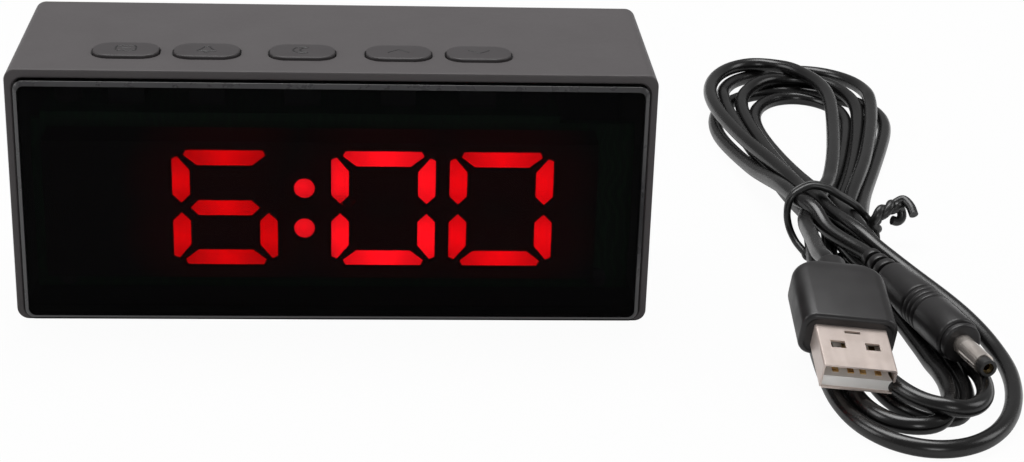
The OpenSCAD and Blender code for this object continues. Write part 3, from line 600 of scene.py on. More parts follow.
@dataclass(frozen=True)
class BoardLacquer:
    """Green or black solder lacquer over a woven glass board, with copper tracks showing through."""

    name: str
    tone: Colour
    track: Colour

    def make(self) -> Material:
        """Build the material."""
        paint = Paint(self.name)
        weave = paint.add("ShaderNodeTexBrick")
        weave.inputs["Scale"].default_value = 420.0
        weave.inputs["Mortar Size"].default_value = 0.08
        paint.join(paint.where, weave.inputs["Vector"])
        tracks = paint.add("ShaderNodeTexWave", wave_type="BANDS", bands_direction="X")
        tracks.inputs["Scale"].default_value = 210.0
        tracks.inputs["Distortion"].default_value = 9.0
        tracks.inputs["Detail"].default_value = 0.0
        paint.join(paint.where, tracks.inputs["Vector"])
        share = paint.spread(tracks.outputs["Fac"], 0.72, 0.8)
        paint.feed("Base Color", paint.blend(share, self.tone, self.track))
        paint.feed("Roughness", paint.spread(paint.speckle(0.003, 3.0, 0.55), *CLOUD, 0.28, 0.4))
        paint.feel((weave.outputs["Fac"], 0.000008), (share, 0.000018))
        return paint.material


# Dim red of the painted glow on the reflector and the unlit bars: light spilled from the lit bars, painted as
# emission.
PAINTED_SPILL_RED = (0.010, 0.0004, 0.0004)


class Finish(Enum):
    """Finishes of the clock and its lead, named after the record's slots.

    A name with a dash is a second look within the slot that stands before the dash.
    """

    SHELL = Moulding("shell_plastic", (0.066, 0.059, 0.061), (0.072, 0.065, 0.067), (0.44, 0.54),
                     specular=0.35, sheen=0.12)
    KEY = Moulding("button_plastic", (0.044, 0.039, 0.041), (0.050, 0.045, 0.047), (0.36, 0.46),
                   specular=0.35)
    # Marks darker than the key: painted shade, standing in for the shade inside engraved letters in the same
    # plastic.
    MARK = Moulding("button_plastic-mark", (0.012, 0.011, 0.012), (0.016, 0.015, 0.016), (0.3, 0.4),
                    specular=0.4)
    PLUNGER = Moulding("plunger_plastic", grey(0.05), grey(0.06), (0.4, 0.5))
    LENS = SmokedGlass("smoked_lens", (0.0008, 0.0008, 0.0010), 0.40)
    # Bevel of the lens: the same smoked acrylic, polished, but painted a lighter grey as a painted reflection
    # on its edge.
    BEVEL = Moulding("smoked_lens-bevel_painted_reflection", (0.030, 0.029, 0.031), (0.040, 0.039, 0.041), (0.24, 0.34))
    TAPE = Moulding("foam_tape", grey(0.012), grey(0.02), (0.85, 0.95), 0.0004, 0.00006)
    # Painted glow: the reflector gives dim red light near each lit bar, standing in for light spilled from
    # it.
    REFLECTOR = Glow("reflector_plastic", ((-0.060, PAINTED_SPILL_RED),), 2.0, (0.9, 2.1), 0.02)
    LIT = Glow("segment_lit", ((-0.060, (0.55, 0.0, 0.001)), (-0.0090, (0.82, 0.004, 0.010)),
                               (0.0, (0.95, 0.0035, 0.0095)), (0.0183, (0.72, 0.0005, 0.003))), 9.3)
    # Painted glow: the unlit bars give dim red light near each lit bar, standing in for light spilled from
    # it.
    UNLIT = Glow("segment_unlit", ((-0.060, PAINTED_SPILL_RED),), 2.0, (0.9, 2.1), 0.02)
    FILM = SmokedGlass("diffuser_film", (0.004, 0.003, 0.003), 0.85)
    LED = Moulding("led_chip", (0.75, 0.62, 0.3), (0.85, 0.72, 0.36), (0.3, 0.4))
    BOARD = BoardLacquer("circuit_board", (0.012, 0.085, 0.03), (0.03, 0.16, 0.055))
    EPOXY = Moulding("chip_epoxy", (0.012, 0.012, 0.013), (0.02, 0.02, 0.021), (0.5, 0.65))
    CAN = Plating("crystal_can", (0.75, 0.74, 0.72), (0.5, 0.48, 0.45), (0.22, 0.34))
    SLEEVE = Moulding("capacitor_sleeve", (0.01, 0.018, 0.07), (0.016, 0.026, 0.1), (0.2, 0.3))
    HEADER = Moulding("header_plastic", (0.72, 0.68, 0.56), (0.8, 0.76, 0.64), (0.4, 0.5))
    SWITCH = Moulding("switch_plastic", (0.04, 0.04, 0.042), (0.06, 0.06, 0.062), (0.35, 0.5))
    STEEL = Plating("screw_steel", (0.16, 0.16, 0.165), (0.09, 0.085, 0.08), (0.25, 0.42))
    SPRING = Plating("spring_nickel", (0.72, 0.70, 0.66), (0.5, 0.46, 0.4), (0.18, 0.34))
    FOOT = Moulding("foot_rubber", grey(0.018), grey(0.03), (0.75, 0.9), 0.0003, 0.00002)
    JACK = Moulding("jack_plastic", grey(0.012), grey(0.02), (0.3, 0.42))
    NICKEL = Plating("contact_nickel", (0.90, 0.83, 0.77), (0.76, 0.68, 0.62), (0.15, 0.26), metal=0.85)
    BRASS = Plating("contact_brass", (0.80, 0.58, 0.26), (0.5, 0.3, 0.1), (0.16, 0.3))
    BUZZER = Moulding("buzzer_plastic", grey(0.01), grey(0.018), (0.35, 0.5))
    RED = Moulding("wire_red", (0.55, 0.012, 0.01), (0.65, 0.02, 0.014), (0.3, 0.42))
    BLACK = Moulding("wire_black", grey(0.012), grey(0.02), (0.3, 0.42))
    GRIP = Moulding("plug_rubber", (0.012, 0.0112, 0.0116), (0.022, 0.0205, 0.0213), (0.32, 0.44),
                    0.00022, 0.000008, 0.004, 0.00003, 0.4)
    USB_SHELL = Plating("shell_nickel", (0.70, 0.60, 0.55), (0.63, 0.53, 0.48), (0.28, 0.38), metal=0.5)
    TONGUE = Moulding("tongue_plastic", (0.92, 0.90, 0.87), (0.95, 0.93, 0.90), (0.4, 0.5))
    JACKET = Moulding("cord_jacket", (0.0035, 0.0032, 0.0033), (0.006, 0.0056, 0.0058), (0.21, 0.30),
                      0.0003, 0.0000015, 0.02, 0.00004)
    TIE = Moulding("tie_plastic", grey(0.010), grey(0.016), (0.28, 0.4))

    def made(self) -> Material:
        """The material of this finish, built on first use beside the record's plain one."""
        return bpy.data.materials.get(f"{self.value.name}_finish") or self.value.make()

    def on(self, *pieces: Piece) -> None:
        """Give pieces this finish in every material slot that they have."""
        for piece in pieces:
            made = self.made()
            if len(piece.data.materials) == 0:
                piece.data.materials.append(made)
            for index in range(len(piece.data.materials)):
                piece.data.materials[index] = made


# ---------------------------------------------------------------- camera, floor and light


@dataclass
class Studio:
    """Camera, pale floor and soft lamps.

    Attributes:
        eye: Where the camera stands.
        focal: Its focal length over a sensor this wide, both in millimetres.
        down: How far it looks down from level, in radians.
        turned: How far it looks towards +X.
        rolled: How far it rolls about its own line of sight.
        lamps: Name, place, point that it faces, size and power of each lamp.
    """

    eye: Point = (0.00633, -0.36474, 0.16356)
    focal: float = 77.63
    sensor: float = 36.0
    down: float = 0.3977
    turned: float = 0.0689
    rolled: float = 0.033
    floor_size: float = 8.0
    floor_tone: float = 0.62
    room_light: float = 0.16
    lamps: tuple[tuple[str, Point, Point, tuple[float, float], float], ...] = (
        ("overhead", (-0.05, 0.30, 0.95), (0.02, 0.0, 0.0), (0.80, 0.50), 9.0),
        ("left_soft", (-1.0, 0.1, 0.5), (0.0, 0.0, 0.02), (0.5, 0.5), 3.0),
        ("front_fill", (0.15, -1.3, 0.55), (0.02, 0.0, 0.02), (0.5, 0.4), 3.0),
        ("right_soft", (1.0, 0.1, 0.55), (0.05, 0.0, 0.02), (0.5, 0.5), 2.0))

    def stand(self, made: Piece, place: Point, *headings: np.ndarray) -> None:
        """Put a camera or a lamp in its place, with its three axes along three headings."""
        axes = Matrix(np.stack(headings, -1).tolist()).to_4x4()
        made.matrix_world = Matrix.Translation(place) @ axes

    def camera(self) -> None:
        """Aim the camera: down from level, turned towards +X, and rolled about its own line of sight."""
        data = bpy.data.cameras.new("view")
        data.sensor_width = self.sensor
        data.lens = self.focal
        data.clip_start = 0.01
        made = link("view", data)
        ahead = np.array([math.sin(self.turned) * math.cos(self.down),
                          math.cos(self.turned) * math.cos(self.down), -math.sin(self.down)])
        side = np.array([math.cos(self.turned), -math.sin(self.turned), 0.0])
        top = np.cross(side, ahead)
        across = math.cos(self.rolled) * side + math.sin(self.rolled) * top
        upright = -math.sin(self.rolled) * side + math.cos(self.rolled) * top
        self.stand(made, self.eye, across, upright, -ahead)
        bpy.context.scene.camera = made

    def floor(self) -> None:
        """Lay the pale floor just below the feet, which keeps a faint shadow of what stands on it."""
        half, sunk = self.floor_size / 2, 0.00002
        corners = np.array([[-half, -half, 0], [half, -half, 0], [half, half, 0], [-half, half, 0]])
        made = make_object("floor", corners - [0, 0, sunk], [(0, 1, 2, 3)])
        material = bpy.data.materials.new("pale_floor")
        material.use_nodes = True
        graph = Graph(material.node_tree)
        shader = graph.tree.nodes["Principled BSDF"]
        shader.inputs["Base Color"].default_value = (*grey(self.floor_tone), 1.0)
        shader.inputs["Roughness"].default_value = 0.9
        shader.inputs["Specular IOR Level"].default_value = 0.1
        white = graph.add("ShaderNodeEmission")
        white.inputs["Color"].default_value = (*grey(1.0), 1.0)
        graph.seen_white({"Camera": 0.965, "Glossy": 0.3, "Transmission": 0.3}, shader.outputs[0],
                         white.outputs[0], graph.tree.nodes["Material Output"].inputs["Surface"])
        made.data.materials.append(material)

    def sky(self) -> None:
        """Light the room evenly with a soft grey world that the camera sees as white."""
        world = bpy.data.worlds.new("room")
        world.use_nodes = True
        graph = Graph(world.node_tree)
        soft, white = graph.tree.nodes["Background"], graph.add("ShaderNodeBackground")
        for shader, strength in ((soft, self.room_light), (white, 1.0)):
            shader.inputs["Color"].default_value = (*grey(1.0), 1.0)
            shader.inputs["Strength"].default_value = strength
        graph.seen_white({"Camera": 1.0, "Glossy": 0.12, "Transmission": 1.0}, soft.outputs[0],
                         white.outputs[0], graph.tree.nodes["World Output"].inputs["Surface"])
        bpy.context.scene.world = world

    def lamp(self, name: str, place: Point, aim: Point, size: tuple[float, float], watts: float) -> None:
        """Hang one rectangular soft lamp facing a point.

        Args:
            name: Name of the lamp.
            place: Where it hangs.
            aim: Point that it faces.
            size: Its width and height.
            watts: Its power.
        """
        data = bpy.data.lights.new(name, "AREA")
        data.shape = "RECTANGLE"
        data.size, data.size_y = size
        data.energy = watts
        back = np.asarray(place, float) - np.asarray(aim, float)
        back /= np.linalg.norm(back)
        side = np.cross([0.0, 0.0, 1.0], back)
        side /= np.linalg.norm(side)
        self.stand(link(name, data), place, side, np.cross(back, side), back)

    def build(self) -> None:
        """Set up the whole studio."""
        bpy.context.scene.view_settings.view_transform = "Standard"
        self.camera()
        self.floor()
        self.sky()
        for lamp in self.lamps:
            self.lamp(*lamp)


# ---------------------------------------------------------------- the free lead


@dataclass(frozen=True)
class Seat:
    """Where a plug lies: turned about X, then Y, then Z in degrees, then moved, in millimetres.

    In the plug's own frame Y runs back from its nose.
    """

    place: Point
    turn: Point

    def axes(self) -> np.ndarray:
        """The plug's own axes in the part's frame, as rows."""
        ax, ay, az = (math.radians(v) for v in self.turn)
        turn = Matrix.Rotation(az, 3, "Z") @ Matrix.Rotation(ay, 3, "Y") @ Matrix.Rotation(ax, 3, "X")
        return np.array(turn).T

    def placed(self, points: np.ndarray) -> np.ndarray:
        """Points of the plug's own frame in the part's frame."""
        return np.asarray(points, float) @ self.axes() + np.asarray(self.place, float)

    def along(self, distance: float) -> np.ndarray:
        """Point on the middle line, a distance back from the nose."""
        return self.placed(np.array([[0.0, distance, 0.0]]))


FLAT_SEAT = Seat((84.0, -53.0, 7.0), (9.0, 5.0, -1.4))
ROUND_SEAT = Seat((104.2, -39.6, 6.8), (0.0, 0.0, 12.5))


@dataclass(frozen=True)
class Bend:
    """One bight of the hank: half a turn out from the tie and back.

    Attributes:
        right: Furthest right the strand runs, in millimetres.
        left: Furthest left it runs.
        right_y: Where along the hank it is furthest right.
        left_y: Where it is furthest left.
        tip: Point where it turns back.
        rank: How many strands it lies over.
    """

    right: float
    left: float
    right_y: float
    left_y: float
    tip: tuple[float, float]
    rank: int

    @property
    def level(self) -> float:
        """Height of the strand over those below it."""
        return 1.6 + 2.9 * self.rank

    def arc(self) -> np.ndarray:
        """Seven points from the left over the tip to the right.

        At angle a from 180 to 0 degrees the point is the tip's x plus the reach to that side times
        cos a, and the widest y of that side plus the rest of the way to the tip times sin a.

        Returns:
            Array of shape (7, 3).
        """
        a = np.radians(np.arange(0.0, 181.0, 30.0))
        first = a <= math.pi / 2
        reach = np.where(first, self.right - self.tip[0], self.tip[0] - self.left)
        base = np.where(first, self.right_y, self.left_y)
        x = self.tip[0] + reach * np.cos(a)
        y = base + (self.tip[1] - base) * np.sin(a)
        return np.stack([x, y, np.full(7, self.level)], -1)[::-1]


@dataclass
class PowerLead:
    """The whole lead: from the small round plug, through the tied hank, to the flat data plug.

    The strands are first laid through the tie, and then settled: each point falls a little,
    the change from the laid shape is kept smooth along the lead, and strands are pushed a diameter
    apart, until the hank lies on the floor and on itself.

    Attributes:
        diameter: Thickness of the lead, in millimetres like all the rest.
        step: Distance between two points of the laid line.
        rounds: Rounds of settling.
        spacing: Least distance between the middles of two strands, in diameters.
        fixed: Points at the start and at the end of the line that stay where they are laid.
        tie_y: Where the tie holds the hank.
        tie_lift: How far the tie under it lifts the lowest strand.
        far: Turns beyond the tie, in the order of the lead.
        near: Turns before it.
        rising: X and height at the tie of each strand that runs out to a far turn.
        falling: The same for each strand that comes back.
        left_lean: Shares by which a far turn's rising strand has leant out at three places.
        right_lean: The same for its falling strand.
        usb_route: Way of the data plug's lead beyond the tie; usb_tuck is its way through the tie.
        plug_route: Way of the round plug's lead; plug_tuck is its way through the tie.
        line: Middle line of the finished lead, in metres.
    """

    diameter: float = 2.9
    step: float = 2.0
    rounds: int = 400
    spacing: float = 1.015
    fixed: tuple[int, int] = (8, 21)
    tie_y: float = 17.5
    tie_lift: float = 1.5
    far: tuple[Bend, ...] = (
        Bend(118.0, 79.4, 84, 78, (99, 103.5), 0), Bend(116.0, 82.6, 93, 92, (105, 113.0), 3),
        Bend(113.0, 86.2, 88, 86, (101, 105.5), 2), Bend(111.0, 88.4, 85, 80, (101, 100.5), 1),
        Bend(105.8, 79.2, 86, 82, (93.2, 110.3), 4))
    near: tuple[Bend, ...] = (
        Bend(103.6, 88.0, -40, -44, (98, -59.5), 0), Bend(101.0, 83.5, -44, -50, (94.5, -63.6), 1),
        Bend(106.0, 88.5, -46, -44, (100, -62.6), 2), Bend(113.6, 82.0, -33, -50, (95.3, -68.2), 0))
    rising: tuple[tuple[float, float], ...] = (
        (86.7, 8.1), (91.0, 6.0), (94.0, 6.0), (96.9, 5.9), (91.7, 9.2))
    falling: tuple[tuple[float, float], ...] = (
        (98.6, 3.05), (96.0, 3.2), (93.3, 3.05), (90.6, 3.1), (87.3, 6.6))
    left_lean: tuple[Point, ...] = ((0.16, 0.32, 0.62), (0.30, 0.48, 0.74), (0.30, 0.48, 0.74),
                                    (0.30, 0.50, 0.76), (0.18, 0.36, 0.70))
    right_lean: tuple[Point, ...] = ((0.04, 0.19, 0.50), (0.05, 0.22, 0.52), (0.14, 0.34, 0.60),
                                     (0.18, 0.40, 0.64), (0.34, 0.52, 0.72))
    usb_route: tuple[Point, ...] = ((86.6, 4, 8.5), (86.1, 0, 9.1), (85.4, -6, 10.2), (84.9, -12, 11.2))
    usb_tuck: tuple[Point, ...] = ((86.3, 12.5, 7.4), (86.3, 8.0, 8.0))
    plug_route: tuple[Point, ...] = ((92.6, 4, 6.4), (94.1, 1.4, 6.7))
    plug_tuck: tuple[Point, ...] = ((90.2, 7.6, 7.0), (87.6, 12, 8.2))
    line: np.ndarray = field(default_factory=lambda: np.zeros((0, 3)))

    def far_turn(self, turn: int) -> np.ndarray:
        """Points of one far turn: from the tie up the left, over the tip, and down the right to the tie.

        Beside the tie a strand leans towards the turn's widest place by a share of the way.

        Args:
            turn: Which turn.

        Returns:
            Array of shape (15, 3).
        """
        bend = self.far[turn]
        level = bend.level
        (lx, lz), (rx, rz) = self.rising[turn], self.falling[turn]
        left = lx + np.array(self.left_lean[turn]) * (bend.left - lx)
        right = rx + np.array(self.right_lean[turn]) * (bend.right - rx)
        up = np.stack([left, [28.0, 40.0, 56.0], [lz, 0.6 * lz + 0.4 * level, 0.3 * lz + 0.7 * level]], -1)
        down = np.stack([right, [27.0, 38.0, 54.0], [rz, 0.7 * rz + 0.3 * level, 0.4 * rz + 0.6 * level]], -1)
        return np.vstack([[lx, self.tie_y, lz], up, bend.arc(), down[::-1], [rx, self.tie_y, rz]])

    def near_turn(self, turn: int) -> np.ndarray:
        """Points of one near turn: under the others to the left, round the tip, and up the right.

        The last turn comes back over the others.

        Args:
            turn: Which turn.

        Returns:
            Array of shape (13, 3).
        """
        bend = self.near[turn]
        top = float(turn == len(self.near) - 1)
        start, goal = self.falling[turn][0], self.rising[turn + 1][0]
        left = start + np.array([0.12, 0.48, 0.88]) * (bend.left - start)
        right = goal + np.array([0.77, 0.50, 0.23]) * (bend.right - goal) + top * np.array([1.1, 1.1, 0.9])
        out = np.stack([left, [4.0, -10.0, -24.0], [1.5, 1.5, 0.5 * bend.level + 0.75]], -1)
        back = np.stack([right, [-19.0, -7.0, 5.0], [1.6 + 3.0 * top, 1.8 + 4.0 * top, 4.6 + 3.2 * top]], -1)
        return np.vstack([out, bend.arc(), back])

    def laid(self) -> np.ndarray:
        """The strands as they are first laid, crossing at the tie, before they settle."""
        parts = [ROUND_SEAT.along(37.0), ROUND_SEAT.along(39.0), self.plug_route[::-1], self.plug_tuck]
        for turn in range(len(self.far)):
            parts.append(self.far_turn(turn))
            if turn < len(self.near):
                parts.append(self.near_turn(turn))
        parts += [self.usb_tuck, self.usb_route, FLAT_SEAT.along(35.5), FLAT_SEAT.along(33.5)]
        return np.concatenate([np.asarray(part, float) for part in parts])

    def below_plug(self, points: np.ndarray) -> np.ndarray:
        """Mark the points that pass under the round plug's grip."""
        length, half_width = 29.0, 3.4
        turn = math.radians(ROUND_SEAT.turn[2])
        from_nose = points[:, :2] - np.array(ROUND_SEAT.place[:2])
        along = from_nose @ np.array([-math.sin(turn), math.cos(turn)])
        beside = np.abs(from_nose @ np.array([math.cos(turn), math.sin(turn)]))
        return (along > -1.0) & (along < length) & (beside < half_width)

    def apart(self, points: np.ndarray, pairs: tuple[np.ndarray, np.ndarray], gap: float) -> np.ndarray:
        """Push pairs of points that are nearer than a gap away from each other.

        Args:
            points: The lead's points.
            pairs: Indices of the points to look at, as two arrays.
            gap: Least distance between two strands.

        Returns:
            How far each point moves.
        """
        eager = 1.3
        first, second = pairs
        between = points[second] - points[first]
        reach = np.linalg.norm(between, axis=1) + 1e-9
        tight = reach < gap
        shift = (0.5 * (gap - reach[tight]) / reach[tight])[:, None] * between[tight]
        move, count = np.zeros_like(points), np.zeros(len(points))
        for side, way in ((first[tight], -shift), (second[tight], shift)):
            np.add.at(move, side, way)
            np.add.at(count, side, 1)
        return eager * move / np.maximum(count, 1)[:, None]

    def settled(self, start: np.ndarray) -> np.ndarray:
        """Let the laid strands fall, keep them smooth, and keep them a diameter apart.

        Args:
            start: Evenly stepped points of the laid strands.

        Returns:
            The settled points.
        """
        fall, pull, stiffness, tie_reach = 0.04, 0.99, 0.22, 8.0
        target = blur(start, 2.5)
        target[:2], target[-6:] = start[:2], start[-6:]
        for _ in range(4):
            target[2:-6] = blur(target, 1.2)[2:-6]
        order = np.arange(len(target))
        held = (order < self.fixed[0]) | (order >= len(target) - self.fixed[1])
        gap = self.spacing * self.diameter
        look_out, own_run = gap + 1.5, int(2.2 * self.diameter / self.step) + 1
        change = np.zeros_like(target)
        pairs = (order[:0], order[:0])
        for turn in range(self.rounds):
            change[:, 2] -= fall
            change[:, :2] *= pull
            for reach in (1, 3, 6):
                middle = 0.5 * (change[:-2 * reach] + change[2 * reach:])
                change[reach:-reach] += stiffness * (middle - change[reach:-reach])
            points = target + change
            if turn % 6 == 0:
                square = ((points[:, None, :] - points[None, :, :]) ** 2).sum(-1)
                apart = order[None, :] - order[:, None] >= own_run
                pairs = np.where((square < look_out**2) & apart)
            under_tie = self.tie_lift * np.exp(-((points[:, 1] - self.tie_y) / tie_reach) ** 2)
            for _ in range(3):
                points = points + self.apart(points, pairs, gap)
                points[:, 2] = np.maximum(points[:, 2], self.diameter / 2 + under_tie)
                under = self.below_plug(points)
                points[under, 2] = np.minimum(points[under, 2], 0.55 * self.diameter)
                points[held] = target[held]
            change = points - target
        return target + change

    def build(self) -> Piece:
        """Make the lead as one tube along its settled line."""
        settled = self.settled(even_steps(spline(self.laid(), 12), self.step))
        smooth = blur(settled, 1.1)
        smooth[[0, -1]] = settled[[0, -1]]
        self.line = even_steps(spline(smooth, 3), 0.9) * MM
        tube = shade(skin("power_lead", tube_rings(self.line, self.diameter / 2 * MM, 20)), 60)
        return rides(tube, Finish.JACKET, CLOCK_BODY, "cord_hank", "usb_lead", "plug_lead")

    def declare(self) -> None:
        """Work out a path along the lead, from its end back to its start with at most about 900 points;
        nothing is done with it.
        """
        every = max(1, len(self.line) // 900)
        path = [tuple(p) for p in self.line[::-every]]
        path[-1] = tuple(self.line[0])


# ---------------------------------------------------------------- plugs and tie


@dataclass
class FlatPlug:
    """Flat data plug: a nickel shell with two windows, its tongue, and a moulded grip.

    Attributes:
        shell: Width and height of the shell.
        shows: Length of the shell in front of the grip.
        grip: Width, length and height of the grip.
        corner: Radius of the grip's shoulders.
        neck: Diameter and length of the neck for the lead.
        lip: Reach of the grip's soft front edge.
    """

    shell: tuple[float, float] = (12.0, 4.5)
    shows: float = 11.5
    grip: Point = (16.0, 18.0, 8.0)
    corner: float = 4.0
    neck: tuple[float, float] = (5.4, 4.0)
    lip: float = 0.8

    def moulded_grip(self) -> Piece:
        """Grip with a soft front edge round the shell, round shoulders, and a neck for the lead."""
        width, length, height = self.grip
        front, back = self.shows, self.shows + length
        slim, flat = width - 2 * self.lip, height - 2 * self.lip
        sections = [(front, slim, flat, 1.7)]
        sections += [(y, slim + e, flat + e, 2.4)
                     for y, e in eased(front, front + self.lip, 0.0, 2 * self.lip)]
        for a in np.linspace(0.0, math.pi / 2, 12)[:-1]:
            inward, soft = self.corner * (1 - math.cos(a)), 0.9 * (1 - math.cos(a))
            y = back - self.corner + self.corner * math.sin(a)
            sections.append((y, width - 2 * inward, height - 2 * soft, 2.4))
        across, reach = self.neck
        sections += [(back, width - 2 * self.corner - 0.8, height - 2.4, 2.2),
                     (back + 0.02, across + 1.0, across + 0.8, 2.9)]
        sections += [(back + y, across + more, across + more, radius)
                     for y, more, radius in ((0.3, 0.2, 2.6), (0.6, 0.0, 2.5), (reach - 0.5, -0.2, 2.4),
                                             (reach - 0.1, -0.6, 2.2), (reach, -1.4, 1.8))]
        piece = shade(skin("usb_grip", FLAT_SEAT.placed(lofted(sections, 8)) * MM), 40)
        return rides(piece, Finish.GRIP, CLOCK_BODY, "usb_overmold")

    def long_edge(self, middle: np.ndarray, way: np.ndarray) -> np.ndarray:
        """Pick the shell's own four outer corners, by their heading and their place."""
        own = np.linalg.inv(FLAT_SEAT.axes())
        x, _, z = np.abs((middle / MM - np.asarray(FLAT_SEAT.place)) @ own).T
        corner = (np.abs(x - self.shell[0] / 2) < 0.02) & (np.abs(z - self.shell[1] / 2) < 0.02)
        return (np.abs(way @ own)[:, 1] > 0.99) & corner

    def build(self) -> list[Piece]:
        """Make the plug's pieces and return those that the lead ends in."""
        tongue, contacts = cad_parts["usb_tongue"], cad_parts["usb_contacts"]
        Finish.TONGUE.on(tongue)
        Finish.BRASS.on(contacts)
        grip = self.moulded_grip()
        shell = moulded_copy("usb_shell", "usb_folded_shell", 0.35 * MM, 3, Finish.USB_SHELL, self.long_edge)
        return [grip, shell, tongue, contacts]


@dataclass
class RoundPlug:
    """Small round power plug: ribbed grip, flexible relief, nickel barrel with a black tip.

    Attributes:
        radius: Radius of the grip.
        length: Length of the grip without its relief.
        grooves: Where the grip's fine grooves are, from its front.
        relief: Length of the relief.
        relief_radius: Its radius where it is widest.
        cord_radius: Radius of the lead that it holds.
    """

    radius: float = 3.8
    length: float = 28.0
    grooves: tuple[float, ...] = (11.4, 12.8, 14.2, 15.6)
    relief: float = 9.0
    relief_radius: float = 2.45
    cord_radius: float = 1.45

    def grip(self) -> list[tuple[float, float]]:
        """Profile of the grip: a rolled lip, a straight part with grooves, and a taper."""
        r, end = self.radius, self.length
        profile = [(0.0, 2.1), (0.0, r - 0.9)] + eased(0.0, 0.5, r - 0.9, r - 0.35) + [(0.9, r - 0.32)]
        profile += [(1.15, r - 0.55), (1.5, r - 0.55)] + eased(1.5, 2.2, r - 0.55, r)
        for place in self.grooves:
            profile += [(float(place + 0.42 * (a / math.pi - 1)), float(r - 0.15 * (1 - math.cos(a))))
                        for a in np.linspace(0.0, 2 * math.pi, 9)]
        profile += [(float(y), float(r - 0.85 * smooth_step(np.array(y), 16.0, end + 2.0)))
                    for y in np.linspace(16.6, end - 0.6, 12)]
        return profile + [(end - 0.25, r - 1.0), (end, r - 1.35)]

    def rings(self) -> list[tuple[float, float]]:
        """Profile of the relief: three rings, each slimmer than the last, with a groove before it."""
        step, end = self.relief / 3, self.length + self.relief
        profile = []
        for ring in range(3):
            wide, y = self.relief_radius - 0.28 * ring, self.length + ring * step
            profile += [(y + part * step, wide - less) for part, less in (
                (0.0, 0.75), (0.40, 0.80), (0.42, 0.1), (0.5, 0.0), (0.92, 0.04), (0.98, 0.15))]
        return profile + [(end, self.cord_radius + 0.15), (end + 0.01, 1.0)]

    def build(self) -> list[Piece]:
        """Make the plug's pieces and return those that the lead ends in."""
        inner = [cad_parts[name] for name in ("plug_barrel", "plug_insulator", "plug_center_contact")]
        for finish, node in zip((Finish.NICKEL, Finish.JACK, Finish.BRASS), inner):
            finish.on(node)
        shape = ROUND_SEAT.placed(turned(self.grip() + self.rings(), 64)) * MM
        grip = shade(skin("round_plug_grip", shape), 40)
        return [rides(grip, Finish.GRIP, CLOCK_BODY, "plug_overmold"), *inner]


@dataclass
class TwistTie:
    """Plastic-covered wire, wound loosely twice round the hank and twisted shut.

    Attributes:
        hoop: Points of the loop round the hank, in millimetres.
        tail: Middle line of the twisted part.
        ends: Where each of the two wires goes after the twist.
        strand: Radius of a wire with its cover.
        tail_strand: Radius of each wire of the tail, where the cover is pressed wide.
        twists: Turns that the two wires make round each other.
        reach: How far their middle lines lie from the middle of the twist.
    """

    hoop: tuple[Point, ...] = ((88.2, 10.8, 0.6), (87.4, 12.9, 1.0), (86.2, 15.6, 2.0), (85.2, 17.8, 4.0),
                               (84.7, 18.2, 7.0), (85.6, 18.7, 9.9), (89.0, 20.2, 11.3), (92.2, 19.8, 11.0),
                               (95.0, 19.6, 9.5), (98.2, 20.4, 7.3), (100.4, 21.2, 5.0), (102.0, 19.1, 3.0),
                               (101.6, 15.6, 1.2), (98.6, 12.2, 0.7), (93.5, 10.6, 0.6))
    tail: tuple[Point, ...] = ((102.2, 19.4, 2.8), (101.8, 18.0, 5.0), (102.6, 18.0, 6.4), (104.0, 18.9, 7.0),
                               (105.4, 20.0, 7.1), (106.4, 20.8, 7.2))
    ends: tuple[tuple[Point, ...], ...] = (
        ((107.2, 21.3, 7.9), (108.0, 20.9, 7.9), (108.7, 19.2, 7.3), (109.0, 17.6, 6.4)),
        ((107.2, 20.7, 6.2), (107.4, 20.2, 4.9), (106.6, 19.7, 4.2), (105.4, 19.5, 4.5)))
    strand: float = 0.46
    tail_strand: float = 0.9
    twists: float = 1.6
    reach: float = 0.55

    def rounds(self) -> list[np.ndarray]:
        """Rings of the two turns of wire round the hank, side by side."""
        loop = np.array(self.hoop)
        closed = spline(np.vstack([loop[-2:], loop, loop[:2]]), 10)[20:-19]
        found = []
        for start, shift, width in ((0, (0.0, -0.65, 0.0), 1.5), (3, (0.0, 0.60, 0.15), 1.0)):
            ring = closed + np.array(shift)
            ring[:, 2] = np.maximum(ring[:, 2], self.strand + 0.05)
            line = np.roll(ring[:-1], -start, 0)
            found.append(tube_rings(np.vstack([line, line[:2]]) * MM, width * self.strand * MM, 12))
        return found

    def twisted(self) -> list[np.ndarray]:
        """Rings of the two wires of the tail: twisted together, then each bent its own way."""
        core = even_steps(spline(self.tail, 10), 0.5)
        turn = np.linspace(0.0, 2 * math.pi * self.twists, len(core))
        heading = np.gradient(core, axis=0)
        heading /= np.linalg.norm(heading, axis=1)[:, None]
        side = np.cross(heading, [0.0, 0.0, 1.0])
        side /= np.linalg.norm(side, axis=1)[:, None]
        top = np.cross(side, heading)
        found = []
        for phase, end in zip((0.0, math.pi), self.ends):
            angle = (turn + phase)[:, None]
            spiral = core + self.reach * (np.cos(angle) * side + np.sin(angle) * top)
            line = even_steps(spline(np.vstack([spiral[:-1], end]), 8), 0.2)
            found.append(tube_rings(line * MM, self.tail_strand * MM, 14))
        return found

    def build(self) -> Piece:
        """Make the two turns and the twisted tail as one piece."""
        parts = self.rounds() + self.twisted()
        piece = merged("tie_wire", [skin(f"tie_strand_{index}", rings) for index, rings in enumerate(parts)])
        return rides(shade(piece, 60), Finish.TIE, CLOCK_BODY, "twist_tie")


# ---------------------------------------------------------------- the clock


